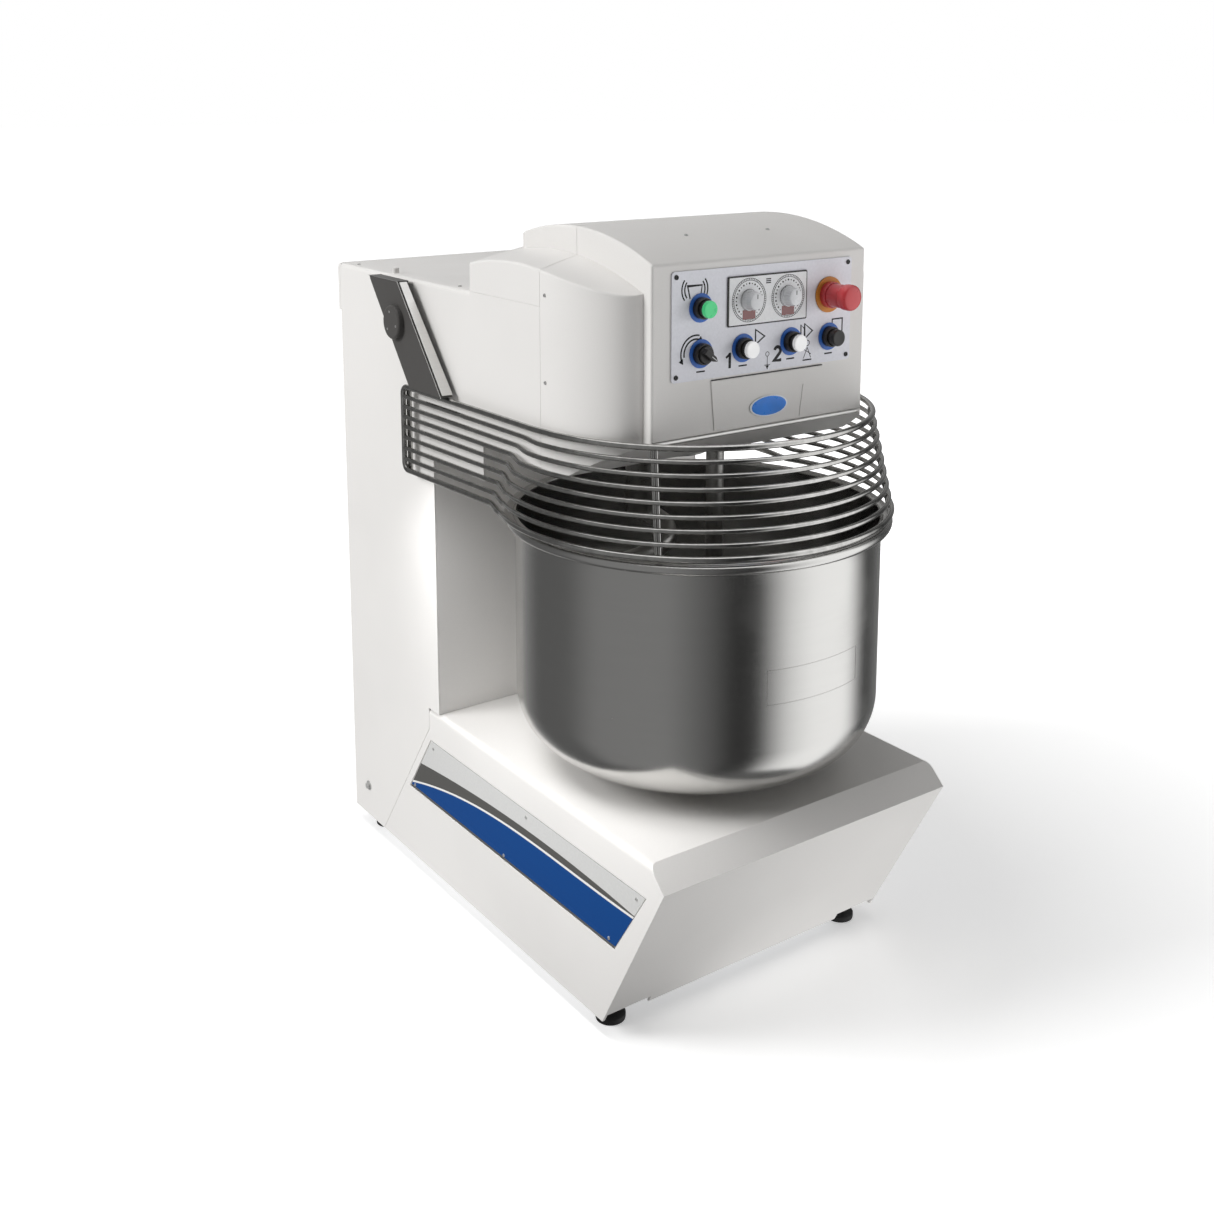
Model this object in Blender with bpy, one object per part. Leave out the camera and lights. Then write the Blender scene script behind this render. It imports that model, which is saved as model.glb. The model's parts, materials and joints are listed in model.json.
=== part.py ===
"""Spiral dough mixer, modelled at real size.

Frame: metres, +Z up, +Y towards the back, +X to the operator's right-hand side as seen from the
front. The origin is on the floor, at the centre of the machine's footprint.
"""

import math

import bmesh
import bpy
from mathutils import Matrix, Vector

# ---------------------------------------------------------------- driving dimensions

TURN_STEPS = 20  # sides of an ordinary round piece
SMALL_STEPS = 16  # sides of a small one
GAP = 0.0003  # kept between pieces that touch
SHEET = 0.003  # casing sheet
CASE_HALF = 0.300  # outer faces of the casing sides
FOOT_HEIGHT = 0.030
FOOT_RADIUS = 0.025
FOOT_X = 0.257
FOOT_FRONT_Y = -0.326
FOOT_REAR_Y = 0.470

COLUMN_FRONT = 0.1615
COLUMN_REAR = 0.530
COLUMN_TOP = 1.1626
TOP_FLANGE_X = 0.2748  # the side panels' bent top edges reach in to here
HOOD_REAR = 0.5465  # back of the lip that hangs over the rear cover
HOOD_LIP_BOTTOM = 1.070
TAB_FRONT = -0.016  # lower tab of each side panel
TAB_BOTTOM = 0.843

DECK_TOP = 0.3575
DECK_FRONT = -0.4868
BASE_NOSE_Y = -0.5236
BASE_NOSE_Z = 0.3224
BASE_TOE_Y = -0.364
BASE_WALL = 0.004
SEAM_TOP = (0.200, 0.317)  # seam between base cover and column side, as (y, z)
SEAM_BOTTOM_Y = 0.402
LIP_X = 0.208  # the front sheet's lower lip ends here
LIP_RISE = 0.013

HEAD_BOTTOM = 0.9036
HEAD_SEAM_SIDE_Y = -0.1965
HEAD_SEAM_NOSE_Y = -0.182
NOSE_HALF = 0.2202
NOSE_FRONT = -0.3803
NOSE_REAR = -0.018
NOSE_TOP = (-0.168, 1.2835, 0.526)  # crest y, crest z, arc radius
SHOULDER_TOP = (-0.115, 1.2254, 0.667)  # the same along the shoulder's outer edge
SHOULDER_RISE = 0.195  # how fast the shoulder's top climbs inwards
SHOULDER_REAR = 0.0206
SHOULDER_BEND_Y = -0.210  # the shoulder's side starts to curve in here
SHOULDER_BEND_LENGTH = 0.150
CHAMFER_FRONT_Z = 0.969  # underside chamfer of the head's front
CHAMFER_BACK_Y = -0.263

BOWL_Y = -0.218
BOWL_RADIUS = 0.310
BOWL_WALL = 0.003
BOWL_BOTTOM = 0.388
BOWL_CORNER = 0.100
RIM_Z = 0.789
RIM_RING_RADIUS = 0.320
RIM_ROLL = 0.0085
BOWL_STEPS = 36

SPIRAL_Y = -0.060
SHANK_RADIUS = 0.029
SPIRAL_ROD = 0.0175
SPIRAL_REACH = 0.112  # from the axis to the rod's centre line
SPIRAL_TOP = 0.742
SPIRAL_END = 0.422
SPIRAL_TURNS = 1.55
BAR_Y = -0.265
BAR_RADIUS = 0.015

DRIVE_Y = 0.330  # both motors stand here
SPIRAL_PULLEY_RADIUS = 0.135
SPIRAL_MOTOR_PULLEY_RADIUS = 0.045
SPIRAL_BELT_Z = (1.108, 1.142)
BOWL_PULLEY_RADIUS = 0.150
BOWL_MOTOR_PULLEY_RADIUS = 0.040
BOWL_BELT_Z = (0.126, 0.156)

PANEL_X = (-0.184, 0.188)
PANEL_Z = (1.0565, 1.2268)
PANEL_THICKNESS = 0.002
BUTTON_RADIUS = 0.013
CONTROLS = {  # name: (x, z) on the control panel
    "jog": (-0.1285, 1.1685),
    "selector": (-0.1275, 1.0976),
    "speed_1": (-0.043, 1.098),
    "speed_2": (0.0566, 1.0987),
    "stop": (0.1397, 1.0988),
}
ESTOP = (0.1373, 1.168)
TIMER_THICKNESS = 0.003
TIMER_X = (-0.034, 0.047)
TIMER_Z = 1.173
BADGE = (0.013, 0.999)
INSERT_THICKNESS = 0.0012  # plate under the control panel, which carries the badge

INLET = (0.18, 0.16)  # cable gland on the rear cover, as (x, z)

PIVOT_Y = 0.2323
PIVOT_Z = 1.0865
PIVOT_RADIUS = 0.012
ARM_OUTSIDE = 0.332
ARM_DEPTH = 0.024
ARM_SHEET = 0.003
WIRE_COUNT = 9
WIRE_TOP_Z = 0.968
WIRE_PITCH = 0.0201
WIRE_RADIUS = 0.004
FRAME_WIRE_RADIUS = 0.005
GUARD_REAR_X = 0.319
GUARD_REAR_Y = 0.222
UPRIGHT_ANGLES = (0.822, 0.840)  # of the paired rods, from the front centre, in radians

FRONT_PANEL = NOSE_FRONT - GAP - PANEL_THICKNESS  # face of the control panel

SECTION_WALL = 0.006  # steel sections of the inner frame
RAIL_X = (0.215, 0.275)
RAIL_Y = (-0.345, 0.515)
RAIL_Z = (FOOT_HEIGHT + 2 * GAP, 0.0905)
CROSS_BARS_Y = ((-0.343, -0.283), (-0.258, -0.178), (0.215, 0.275), (0.453, 0.513))
BRIDGE_Y = (-0.276, -0.160)  # plate that carries the bowl's bearing
BRIDGE_Z = (0.290, 0.302)
POST_OUTSIDE_X = 0.290
POST_WIDTH = 0.040
POST_FRONT_Y = 0.215
POST_REAR_Y = 0.515
POST_TOP = 1.100
SHELF_THICKNESS = 0.012
LOWER_SHELF_Z = 0.172
UPPER_SHELF_Z = 0.964
HEAD_PLATE_Z = (0.9763, 0.9863)
HOUSING_BORE = 0.0202
BOWL_HOUSING_RADIUS = 0.046
SPIRAL_HOUSING_RADIUS = 0.060
MOTOR_FLANGE = 0.012
MOTOR_FLANGE_SUNK = 0.004
SHAFT_RADIUS = 0.0195  # of the bowl and of the spiral
SPIRAL_MOTOR_SHAFT = 0.012
BOWL_MOTOR_SHAFT = 0.011


# ---------------------------------------------------------------- modelling helpers


def clear_scene():
    for obj in list(bpy.data.objects):
        bpy.data.objects.remove(obj, do_unlink=True)


def material(name, color, roughness, metallic=0.0):
    found = bpy.data.materials.get(name)
    if found:
        return found
    made = bpy.data.materials.new(name)
    made.use_nodes = True
    shader = made.node_tree.nodes["Principled BSDF"]
    shader.inputs["Base Color"].default_value = (*color, 1)
    shader.inputs["Roughness"].default_value = roughness
    shader.inputs["Metallic"].default_value = metallic
    return made


def white_paint():
    return material("white_paint", (0.80, 0.79, 0.77), 0.38)


def dark_paint():
    return material("dark_paint", (0.10, 0.10, 0.10), 0.45)


def frame_paint():
    return material("frame_paint", (0.35, 0.36, 0.37), 0.55)


def satin_steel():
    return material("satin_steel", (0.62, 0.61, 0.59), 0.28, 1.0)


def bright_steel():
    return material("bright_steel", (0.78, 0.77, 0.75), 0.15, 1.0)


def black_plastic():
    return material("black_plastic", (0.02, 0.02, 0.02), 0.4)


def black_rubber():
    return material("black_rubber", (0.015, 0.015, 0.015), 0.8)


def node(name, shape, finish, smooth=True):
    """A new object in the scene from a bmesh, with its faces pointing out."""
    mesh = bpy.data.meshes.new(name)
    bmesh.ops.recalc_face_normals(shape, faces=shape.faces)
    shape.to_mesh(mesh)
    shape.free()
    obj = bpy.data.objects.new(name, mesh)
    bpy.context.scene.collection.objects.link(obj)
    mesh.materials.append(finish)
    if smooth:
        mesh.shade_smooth()
        mesh.set_sharp_from_angle(angle=math.radians(35))
    return obj


def box(low, high):
    made = bmesh.new()
    bmesh.ops.create_cube(made, size=1)
    size = [b - a for a, b in zip(low, high)]
    middle = [(a + b) / 2 for a, b in zip(low, high)]
    bmesh.ops.scale(made, vec=size, verts=made.verts)
    bmesh.ops.translate(made, vec=middle, verts=made.verts)
    return made


def prism(outline, axis, low, high):
    """An outline of (first, second) points, extruded along the third axis.

    The outline's axes are the other two in X, Y, Z order.
    """
    others = [i for i in range(3) if i != axis]
    made = bmesh.new()
    ends = []
    for level in (low, high):
        ring = []
        for point in outline:
            place = [0.0, 0.0, 0.0]
            place[others[0]], place[others[1]] = point
            place[axis] = level
            ring.append(made.verts.new(place))
        ends.append(ring)
    made.faces.new(ends[0])
    made.faces.new(ends[1][::-1])
    for i in range(len(outline)):
        j = (i + 1) % len(outline)
        made.faces.new((ends[0][i], ends[0][j], ends[1][j], ends[1][i]))
    return made


def turned(profile, steps=TURN_STEPS):
    """A closed (radius, height) profile, turned about Z. A radius of 0 is a point on the axis."""
    made = bmesh.new()
    rings = []
    for radius, height in profile:
        if radius == 0:
            rings.append([made.verts.new((0, 0, height))] * steps)
            continue
        ring = []
        for i in range(steps):
            angle = 2 * math.pi * i / steps
            ring.append(made.verts.new((radius * math.cos(angle), radius * math.sin(angle), height)))
        rings.append(ring)
    for first, second in zip(rings, rings[1:] + rings[:1]):
        for i in range(steps):
            j = (i + 1) % steps
            corners = []
            for corner in (first[i], first[j], second[j], second[i]):
                if corner not in corners:
                    corners.append(corner)
            if len(corners) > 2:
                made.faces.new(corners)
    return made


def rod(radius, low, high, steps=TURN_STEPS):
    return turned([(0, low), (radius, low), (radius, high), (0, high)], steps)


def tube(path, radius, sides=6, closed=False):
    """A round bar along a list of points, its rings turned as little as possible from one to the next."""
    points = [Vector(p) for p in path]
    count = len(points)
    made = bmesh.new()
    rings = []
    side = None
    for i, point in enumerate(points):
        before = points[i - 1] if i or closed else point
        after = points[(i + 1) % count] if i + 1 < count or closed else point
        along = (after - before).normalized()
        if side is None:
            side = along.orthogonal().normalized()
        side = (side - along * side.dot(along)).normalized()
        up = along.cross(side)
        ring = []
        for k in range(sides):
            turn = 2 * math.pi * k / sides
            ring.append(made.verts.new(point + radius * (side * math.cos(turn) + up * math.sin(turn))))
        rings.append(ring)
    for first, second in zip(rings, rings[1:]):
        for k in range(sides):
            m = (k + 1) % sides
            made.faces.new((first[k], first[m], second[m], second[k]))
    if closed:
        # The last ring may have turned against the first, so each corner meets its nearest one.
        last, start = rings[-1], rings[0]
        shift = min(range(sides), key=lambda s: (last[0].co - start[s].co).length)
        for k in range(sides):
            m = (k + 1) % sides
            made.faces.new((last[k], last[m], start[(m + shift) % sides], start[(k + shift) % sides]))
    else:
        made.faces.new(rings[0])
        made.faces.new(rings[-1][::-1])
    return made


def moved(made, offset=(0, 0, 0), facing=None):
    """Turns a bmesh that was made along +Z to face another way, then moves it."""
    if facing is not None:
        turn = Vector((0, 0, 1)).rotation_difference(Vector(facing)).to_matrix()
        bmesh.ops.rotate(made, cent=(0, 0, 0), matrix=turn, verts=made.verts)
    bmesh.ops.translate(made, vec=offset, verts=made.verts)
    return made


def mirrored(made):
    """The same shape on the other side of the machine."""
    bmesh.ops.transform(made, matrix=Matrix.Scale(-1, 4, (1, 0, 0)), verts=made.verts)
    bmesh.ops.reverse_faces(made, faces=made.faces)
    return made


def sided(make, side):
    return make() if side > 0 else mirrored(make())


def channel(across, along, axis, low, high):
    """A steel channel that runs along an axis from low to high.

    Its section spans two ranges, in X, Y, Z order. The web is at the high end of the first.
    """
    (a, b), (c, d) = across, along
    web, wall = b - SECTION_WALL, SECTION_WALL
    outline = [(a, c), (b, c), (b, d), (a, d), (a, d - wall), (web, d - wall), (web, c + wall), (a, c + wall)]
    return prism(outline, axis, low, high)


def combine(target, tool, operation="UNION", crossing=False):
    """Joins or cuts with another bmesh and keeps the result."""
    helper = node("tool", tool, white_paint(), smooth=False)
    modifier = target.modifiers.new("shape", "BOOLEAN")
    modifier.operation = operation
    modifier.solver = "EXACT"
    modifier.use_self = crossing
    modifier.object = helper
    graph = bpy.context.evaluated_depsgraph_get()
    shaped = bpy.data.meshes.new_from_object(target.evaluated_get(graph))
    target.modifiers.clear()
    target.data = shaped
    bpy.data.objects.remove(helper, do_unlink=True)
    while len(shaped.materials) > 1:
        shaped.materials.pop()
    shaped.polygons.foreach_set("material_index", [0] * len(shaped.polygons))
    shaped.shade_smooth()
    shaped.set_sharp_from_angle(angle=math.radians(35))
    return target


def joined(name, pieces, finish):
    target = node(name, pieces[0], finish)
    for piece in pieces[1:]:
        combine(target, piece)
    return target


def cut(target, *tools):
    for tool in tools:
        combine(target, tool, "DIFFERENCE")
    return target


def inset(outline, distance):
    """The outline moved inwards by a distance. The outline runs anticlockwise."""
    count = len(outline)
    lines = []
    for i in range(count):
        a, b = Vector(outline[i]), Vector(outline[(i + 1) % count])
        along = (b - a).normalized()
        inward = Vector((-along.y, along.x))
        lines.append((a + inward * distance, along))
    corners = []
    for i in range(count):
        (p, d), (q, e) = lines[i - 1], lines[i]
        t = ((q.x - p.x) * e.y - (q.y - p.y) * e.x) / (d.x * e.y - d.y * e.x)
        corners.append(tuple(p + d * t))
    return corners


def rectangle(across, along):
    """The corners of a rectangle, anticlockwise."""
    return [(across[0], along[0]), (across[1], along[0]), (across[1], along[1]), (across[0], along[1])]


def rounded(outline, radius, steps=3):
    """The outline with each corner rounded by an arc."""
    count = len(outline)
    points = []
    for i in range(count):
        before, corner, after = (Vector(outline[(i + k) % count]) for k in (-1, 0, 1))
        to_before, to_after = (before - corner).normalized(), (after - corner).normalized()
        half = to_before.angle(to_after) / 2
        setback = radius / math.tan(half)
        centre = corner + (to_before + to_after).normalized() * radius / math.sin(half)
        start, end = corner + to_before * setback, corner + to_after * setback
        first = math.atan2(*(start - centre).yx)
        sweep = math.remainder(math.atan2(*(end - centre).yx) - first, 2 * math.pi)
        for k in range(steps + 1):
            angle = first + sweep * k / steps
            points.append((centre.x + radius * math.cos(angle), centre.y + radius * math.sin(angle)))
    return points


def set_origin(obj, point):
    """Puts the object's origin on a point and leaves its shape where it is."""
    offset = Vector(point)
    obj.data.transform(Matrix.Translation(-offset))
    obj.location = offset


def joint_empty(name, point):
    empty = bpy.data.objects.new(name, None)
    empty.empty_display_size = 0.05
    empty.location = point
    bpy.context.scene.collection.objects.link(empty)
    return empty


def hang(obj, empty):
    """Parents the object to its joint's empty and puts its origin there."""
    set_origin(obj, empty.location)
    obj.parent = empty
    obj.location = (0, 0, 0)


# ---------------------------------------------------------------- base


def base_outline():
    """Side view of the base cover as (y, z), anticlockwise seen from +X."""
    return [
        (BASE_TOE_Y, FOOT_HEIGHT),
        (SEAM_BOTTOM_Y, FOOT_HEIGHT),
        SEAM_TOP,
        (SEAM_TOP[0], DECK_TOP),
        (DECK_FRONT, DECK_TOP),
        (BASE_NOSE_Y, BASE_NOSE_Z),
    ]


def trim_outline(grow=0.0):
    """Outline of the side trim plate as (y, z), anticlockwise."""
    corners = [(-0.3969, 0.1725), (0.286, 0.169), (0.1966, 0.2955), (-0.4803, 0.298)]
    return inset(corners, -grow)


def base_cover():
    shell = prism(base_outline(), 0, -CASE_HALF, CASE_HALF)
    long_edges = []
    for edge in shell.edges:
        a, b = (v.co for v in edge.verts)
        on_side = abs(abs(a.x) - CASE_HALF) < 1e-6 and abs(a.x - b.x) < 1e-6
        if on_side and abs(a.z - DECK_TOP) < 1e-6 and abs(b.z - DECK_TOP) < 1e-6:
            long_edges.append(edge)
    bmesh.ops.bevel(shell, geom=long_edges, offset=0.012, segments=3, profile=0.5, affect="EDGES")
    cover = node("base_cover", shell, white_paint())
    toe_slope = (BASE_TOE_Y - BASE_NOSE_Y) / (BASE_NOSE_Z - FOOT_HEIGHT)
    below = 0.02
    hollow = inset(
        [
            (BASE_TOE_Y + toe_slope * (FOOT_HEIGHT + below), -below),
            (0.60, -below),
            (0.60, DECK_TOP),
            (DECK_FRONT, DECK_TOP),
            (BASE_NOSE_Y, BASE_NOSE_Z),
        ],
        BASE_WALL,
    )
    cut(cover, prism(hollow, 0, -CASE_HALF + BASE_WALL, CASE_HALF - BASE_WALL))
    shaft_hole = moved(rod(0.050, DECK_TOP - 0.03, DECK_TOP + 0.03), (0, BOWL_Y, 0))
    cut(cover, shaft_hole)
    for side in (-1, 1):
        notch_x = sorted((side * LIP_X, side * (CASE_HALF - BASE_WALL - 0.001)))
        low, high = FOOT_HEIGHT - 0.01, FOOT_HEIGHT + LIP_RISE
        cut(cover, box((notch_x[0], -0.40, low), (notch_x[1], -0.345, high)))
        recess = sorted((side * (CASE_HALF - 0.0022), side * (CASE_HALF + 0.01)))
        cut(cover, prism(trim_outline(), 0, *recess))
    return cover


def trim_plate(name, side):
    def make():
        return prism(trim_outline(-0.0006), 0, CASE_HALF - 0.0018, CASE_HALF - 0.0004)

    return node(name, sided(make, side), material("trim_blue", (0.01, 0.06, 0.25), 0.35))


def base_frame():
    """Two channel rails and four cross bars, with a bridge over the front for the bowl's bearing."""
    rail_low, rail_high = RAIL_Z
    bar_end, post_x, post_y = 0.245, (0.222, 0.262), (-0.256, -0.180)
    overlap, bridge_end = 0.002, 0.264

    def make_rail():
        return channel(RAIL_X, RAIL_Z, 1, *RAIL_Y)

    def make_post():
        return channel(post_x, post_y, 2, rail_high - 5 * overlap, BRIDGE_Z[1] - overlap)

    pieces = [sided(make_rail, side) for side in (-1, 1)]
    for bar_y in CROSS_BARS_Y:
        # The cross bars end inside the rails.
        pieces.append(channel(bar_y, (rail_low + overlap, rail_high - overlap), 0, -bar_end, bar_end))
    pieces += [sided(make_post, side) for side in (-1, 1)]
    pieces.append(box((-bridge_end, BRIDGE_Y[0], BRIDGE_Z[0]), (bridge_end, BRIDGE_Y[1], BRIDGE_Z[1])))
    frame = joined("base_frame", pieces, frame_paint())
    housing_hole = rod(BOWL_HOUSING_RADIUS + 0.0005, BRIDGE_Z[0] - SHEET, BRIDGE_Z[1] + SHEET)
    return cut(frame, moved(housing_hole, (0, BOWL_Y, 0)))


def feet():
    profile = [(0, 0), (FOOT_RADIUS - 0.002, 0), (FOOT_RADIUS, 0.003), (FOOT_RADIUS, 0.012)]
    profile += [(0.016, 0.017), (0.012, 0.019), (0.012, FOOT_HEIGHT + 0.0001), (0, FOOT_HEIGHT + 0.0001)]
    names = ("foot_front_left", "foot_front_right", "foot_rear_left", "foot_rear_right")
    places = [(x, y) for y in (FOOT_FRONT_Y, FOOT_REAR_Y) for x in (-FOOT_X, FOOT_X)]
    for name, (x, y) in zip(names, places):
        node(name, moved(turned(profile, 16), (x, y, 0)), black_rubber())


# ---------------------------------------------------------------- column


def column_side(name, side):
    seam = 0.0008
    outline = [
        (SEAM_BOTTOM_Y + seam, FOOT_HEIGHT),
        (COLUMN_REAR, FOOT_HEIGHT),
        (COLUMN_REAR, COLUMN_TOP - 0.010),
        (SHOULDER_REAR + 0.001, COLUMN_TOP - 0.010),
        (SHOULDER_REAR + 0.001, COLUMN_TOP),
        (HEAD_SEAM_SIDE_Y + seam / 2, COLUMN_TOP),
        (HEAD_SEAM_SIDE_Y + seam / 2, HEAD_BOTTOM),
        (TAB_FRONT, HEAD_BOTTOM),
        (TAB_FRONT, TAB_BOTTOM),
        (COLUMN_FRONT, TAB_BOTTOM),
        (COLUMN_FRONT, DECK_TOP + GAP),
        (SEAM_TOP[0] + seam, DECK_TOP + GAP),
        (SEAM_TOP[0] + seam, SEAM_TOP[1]),
    ]

    def panel():
        return prism(outline, 0, CASE_HALF - SHEET, CASE_HALF)

    def top_bend():
        """The top edge, bent over into a narrow flange, as (x, z)."""
        bend, steps = 0.010, 3
        outer = [(CASE_HALF, COLUMN_TOP - 0.014)]
        inner = [(CASE_HALF - SHEET, COLUMN_TOP - 0.014)]
        for k in range(steps + 1):
            angle = math.pi / 2 * k / steps
            centre = (CASE_HALF - bend, COLUMN_TOP - bend)
            outer.append((centre[0] + bend * math.cos(angle), centre[1] + bend * math.sin(angle)))
            near = bend - SHEET
            inner.append((centre[0] + near * math.cos(angle), centre[1] + near * math.sin(angle)))
        outer.append((TOP_FLANGE_X, COLUMN_TOP))
        inner.append((TOP_FLANGE_X, COLUMN_TOP - SHEET))
        return prism(outer + inner[::-1], 1, SHOULDER_REAR + 0.001, COLUMN_REAR)

    return joined(name, [sided(panel, side), sided(top_bend, side)], white_paint())


def column_front_panel():
    half = CASE_HALF - SHEET - GAP
    low = (-half, COLUMN_FRONT, DECK_TOP + GAP)
    high = (half, COLUMN_FRONT + SHEET, HEAD_BOTTOM - GAP)
    return node("column_front_panel", box(low, high), white_paint())


def column_rear_cover():
    half = CASE_HALF - SHEET - GAP
    low = (-half, COLUMN_REAR - SHEET, FOOT_HEIGHT + 0.001)
    cover = node("column_rear_cover", box(low, (half, COLUMN_REAR, COLUMN_TOP - 0.016)), white_paint())
    slot_count = 8
    for k in range(slot_count):
        z = 0.56 + 0.022 * k
        cut(cover, box((-0.12, COLUMN_REAR - 0.02, z), (0.12, COLUMN_REAR + 0.02, z + 0.008)))
    inlet = moved(rod(0.0155, -0.03, 0.03), (INLET[0], COLUMN_REAR, INLET[1]), (0, 1, 0))
    return cut(cover, inlet)


def column_top_cover():
    half_top = TOP_FLANGE_X - GAP
    low = (-half_top, SHOULDER_REAR + 0.001, COLUMN_TOP - SHEET)
    top = box(low, (half_top, COLUMN_REAR + 0.004, COLUMN_TOP))
    lip = box((-CASE_HALF, COLUMN_REAR + GAP, HOOD_LIP_BOTTOM), (CASE_HALF, HOOD_REAR, COLUMN_TOP))
    upper = []
    for edge in lip.edges:
        a, b = (v.co for v in edge.verts)
        rear_vertical = a.y > HOOD_REAR - 1e-6 and b.y > HOOD_REAR - 1e-6
        top_edge = a.z > COLUMN_TOP - 1e-6 and b.z > COLUMN_TOP - 1e-6
        on_front = abs(a.y - b.y) < 1e-6 and a.y < HOOD_REAR - 1e-6
        if (rear_vertical and abs(a.z - b.z) > 0.01) or (top_edge and not on_front):
            upper.append(edge)
    bmesh.ops.bevel(lip, geom=upper, offset=0.009, segments=3, profile=0.5, affect="EDGES")
    cover = joined("column_top_cover", [top, lip], white_paint())
    half = CASE_HALF - SHEET
    low = (-half, COLUMN_REAR - 0.001, HOOD_LIP_BOTTOM - 0.01)
    return cut(cover, box(low, (half, HOOD_REAR - SHEET, COLUMN_TOP - SHEET)))


def corner_post(side, corner_y, way):
    """An upright angle section, its corner outwards. way points from the corner into the column."""
    inside_x, wall = POST_OUTSIDE_X - POST_WIDTH, SECTION_WALL
    outline = [
        (inside_x, corner_y),
        (POST_OUTSIDE_X, corner_y),
        (POST_OUTSIDE_X, corner_y + way * POST_WIDTH),
        (POST_OUTSIDE_X - wall, corner_y + way * POST_WIDTH),
        (POST_OUTSIDE_X - wall, corner_y + way * wall),
        (inside_x, corner_y + way * wall),
    ]
    return prism([(side * x, y) for x, y in outline], 2, RAIL_Z[1] + GAP, POST_TOP)


def column_frame():
    """Four corner posts on foot plates, two shelves for the motors and two middle bars."""
    bottom, margin, bar = RAIL_Z[1] + GAP, 0.001, 0.030
    bar_low, inner_end, foot_x = 0.500, 0.270, 0.218
    pieces = []
    for side in (-1, 1):
        for corner_y, way in ((POST_FRONT_Y, 1), (POST_REAR_Y, -1)):
            pieces.append(corner_post(side, corner_y, way))
            x = sorted((side * foot_x, side * (POST_OUTSIDE_X - margin)))
            y = sorted((corner_y + way * margin, corner_y + way * POST_WIDTH))
            pieces.append(box((x[0], y[0], bottom), (x[1], y[1], bottom + SHELF_THICKNESS)))
    shelf_y = (POST_FRONT_Y + 2 * margin, POST_REAR_Y - 2 * margin)
    for z in (LOWER_SHELF_Z, UPPER_SHELF_Z):
        pieces.append(box((-inner_end, shelf_y[0], z), (inner_end, shelf_y[1], z + SHELF_THICKNESS)))
    for low in (POST_FRONT_Y + margin, POST_REAR_Y - margin - bar):
        pieces.append(box((-inner_end, low, bar_low), (inner_end, low + bar, bar_low + bar)))
    frame = joined("column_frame", pieces, frame_paint())
    for z in (LOWER_SHELF_Z, UPPER_SHELF_Z):
        shaft_hole = rod(0.030, z - SHELF_THICKNESS, z + 2 * SHELF_THICKNESS)
        cut(frame, moved(shaft_hole, (0, DRIVE_Y, 0)))
    return frame


# ---------------------------------------------------------------- head


def arc_height(y, arc, drop=0.0):
    crest_y, crest_z, radius = arc
    return crest_z - drop - (radius - math.sqrt(radius**2 - (y - crest_y) ** 2))


def shoulder_half_width(y):
    if y >= SHOULDER_BEND_Y:
        return CASE_HALF
    t = min((SHOULDER_BEND_Y - y) / SHOULDER_BEND_LENGTH, 1.0)
    narrow = NOSE_HALF - 0.002
    return narrow + (CASE_HALF - narrow) * math.sqrt(1 - t * t)


def shoulder_body(inward=0.0, bottom=HEAD_BOTTOM):
    """The wide part of the head: sections across X, lofted from the rear to the front."""
    straight = [SHOULDER_REAR - inward - 0.05 * k for k in range(5)]
    curved = [SHOULDER_BEND_Y - SHOULDER_BEND_LENGTH * math.sin(math.pi / 2 * k / 8) for k in range(9)]
    made = bmesh.new()
    sections = []
    for y in straight + curved:
        half = shoulder_half_width(y) - inward
        edge = arc_height(y, SHOULDER_TOP, inward)
        inner = min(0.19, half - 0.01)
        section = [(-half, bottom), (half, bottom)]
        for x in (half, inner, -inner, -half):
            section.append((x, edge + SHOULDER_RISE * (CASE_HALF - abs(x) - inward)))
        sections.append([made.verts.new((x, y, z)) for x, z in section])
    made.faces.new(sections[0])
    made.faces.new(sections[-1][::-1])
    for first, second in zip(sections, sections[1:]):
        for i in range(len(first)):
            j = (i + 1) % len(first)
            made.faces.new((first[i], first[j], second[j], second[i]))
    return made


def nose_body(inward=0.0, bottom=HEAD_BOTTOM):
    """The narrow, arched middle of the head."""
    front, rear = NOSE_FRONT + inward, NOSE_REAR - inward
    steps = 12
    outline = [(front, bottom), (rear, bottom)]
    for k in range(steps + 1):
        y = rear + (front - rear) * k / steps
        outline.append((y, arc_height(y, NOSE_TOP, inward)))
    made = prism(outline, 0, -NOSE_HALF + inward, NOSE_HALF - inward)
    if inward == 0:
        crest = []
        for edge in made.edges:
            a, b = (v.co for v in edge.verts)
            on_side = abs(abs(a.x) - NOSE_HALF) < 1e-6 and abs(a.x - b.x) < 1e-6
            if on_side and min(a.z, b.z) > bottom + 0.05 and abs(a.z - b.z) < 0.05:
                crest.append(edge)
        bmesh.ops.bevel(made, geom=crest, offset=0.010, segments=2, profile=0.5, affect="EDGES")
    return made


def below_chamfer(shift=0.0):
    """Everything in front of and below the chamfer under the head's front."""
    slope = (CHAMFER_FRONT_Z - HEAD_BOTTOM) / (NOSE_FRONT - CHAMFER_BACK_Y)
    reach = 0.05
    near = (CHAMFER_BACK_Y + reach, HEAD_BOTTOM + slope * reach + shift)
    far = (NOSE_FRONT - reach, CHAMFER_FRONT_Z - slope * reach + shift)
    outline = [(far[0], near[1] - 0.1), (near[0], near[1] - 0.1), near, far]
    return prism(outline, 0, -0.4, 0.4)


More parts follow.
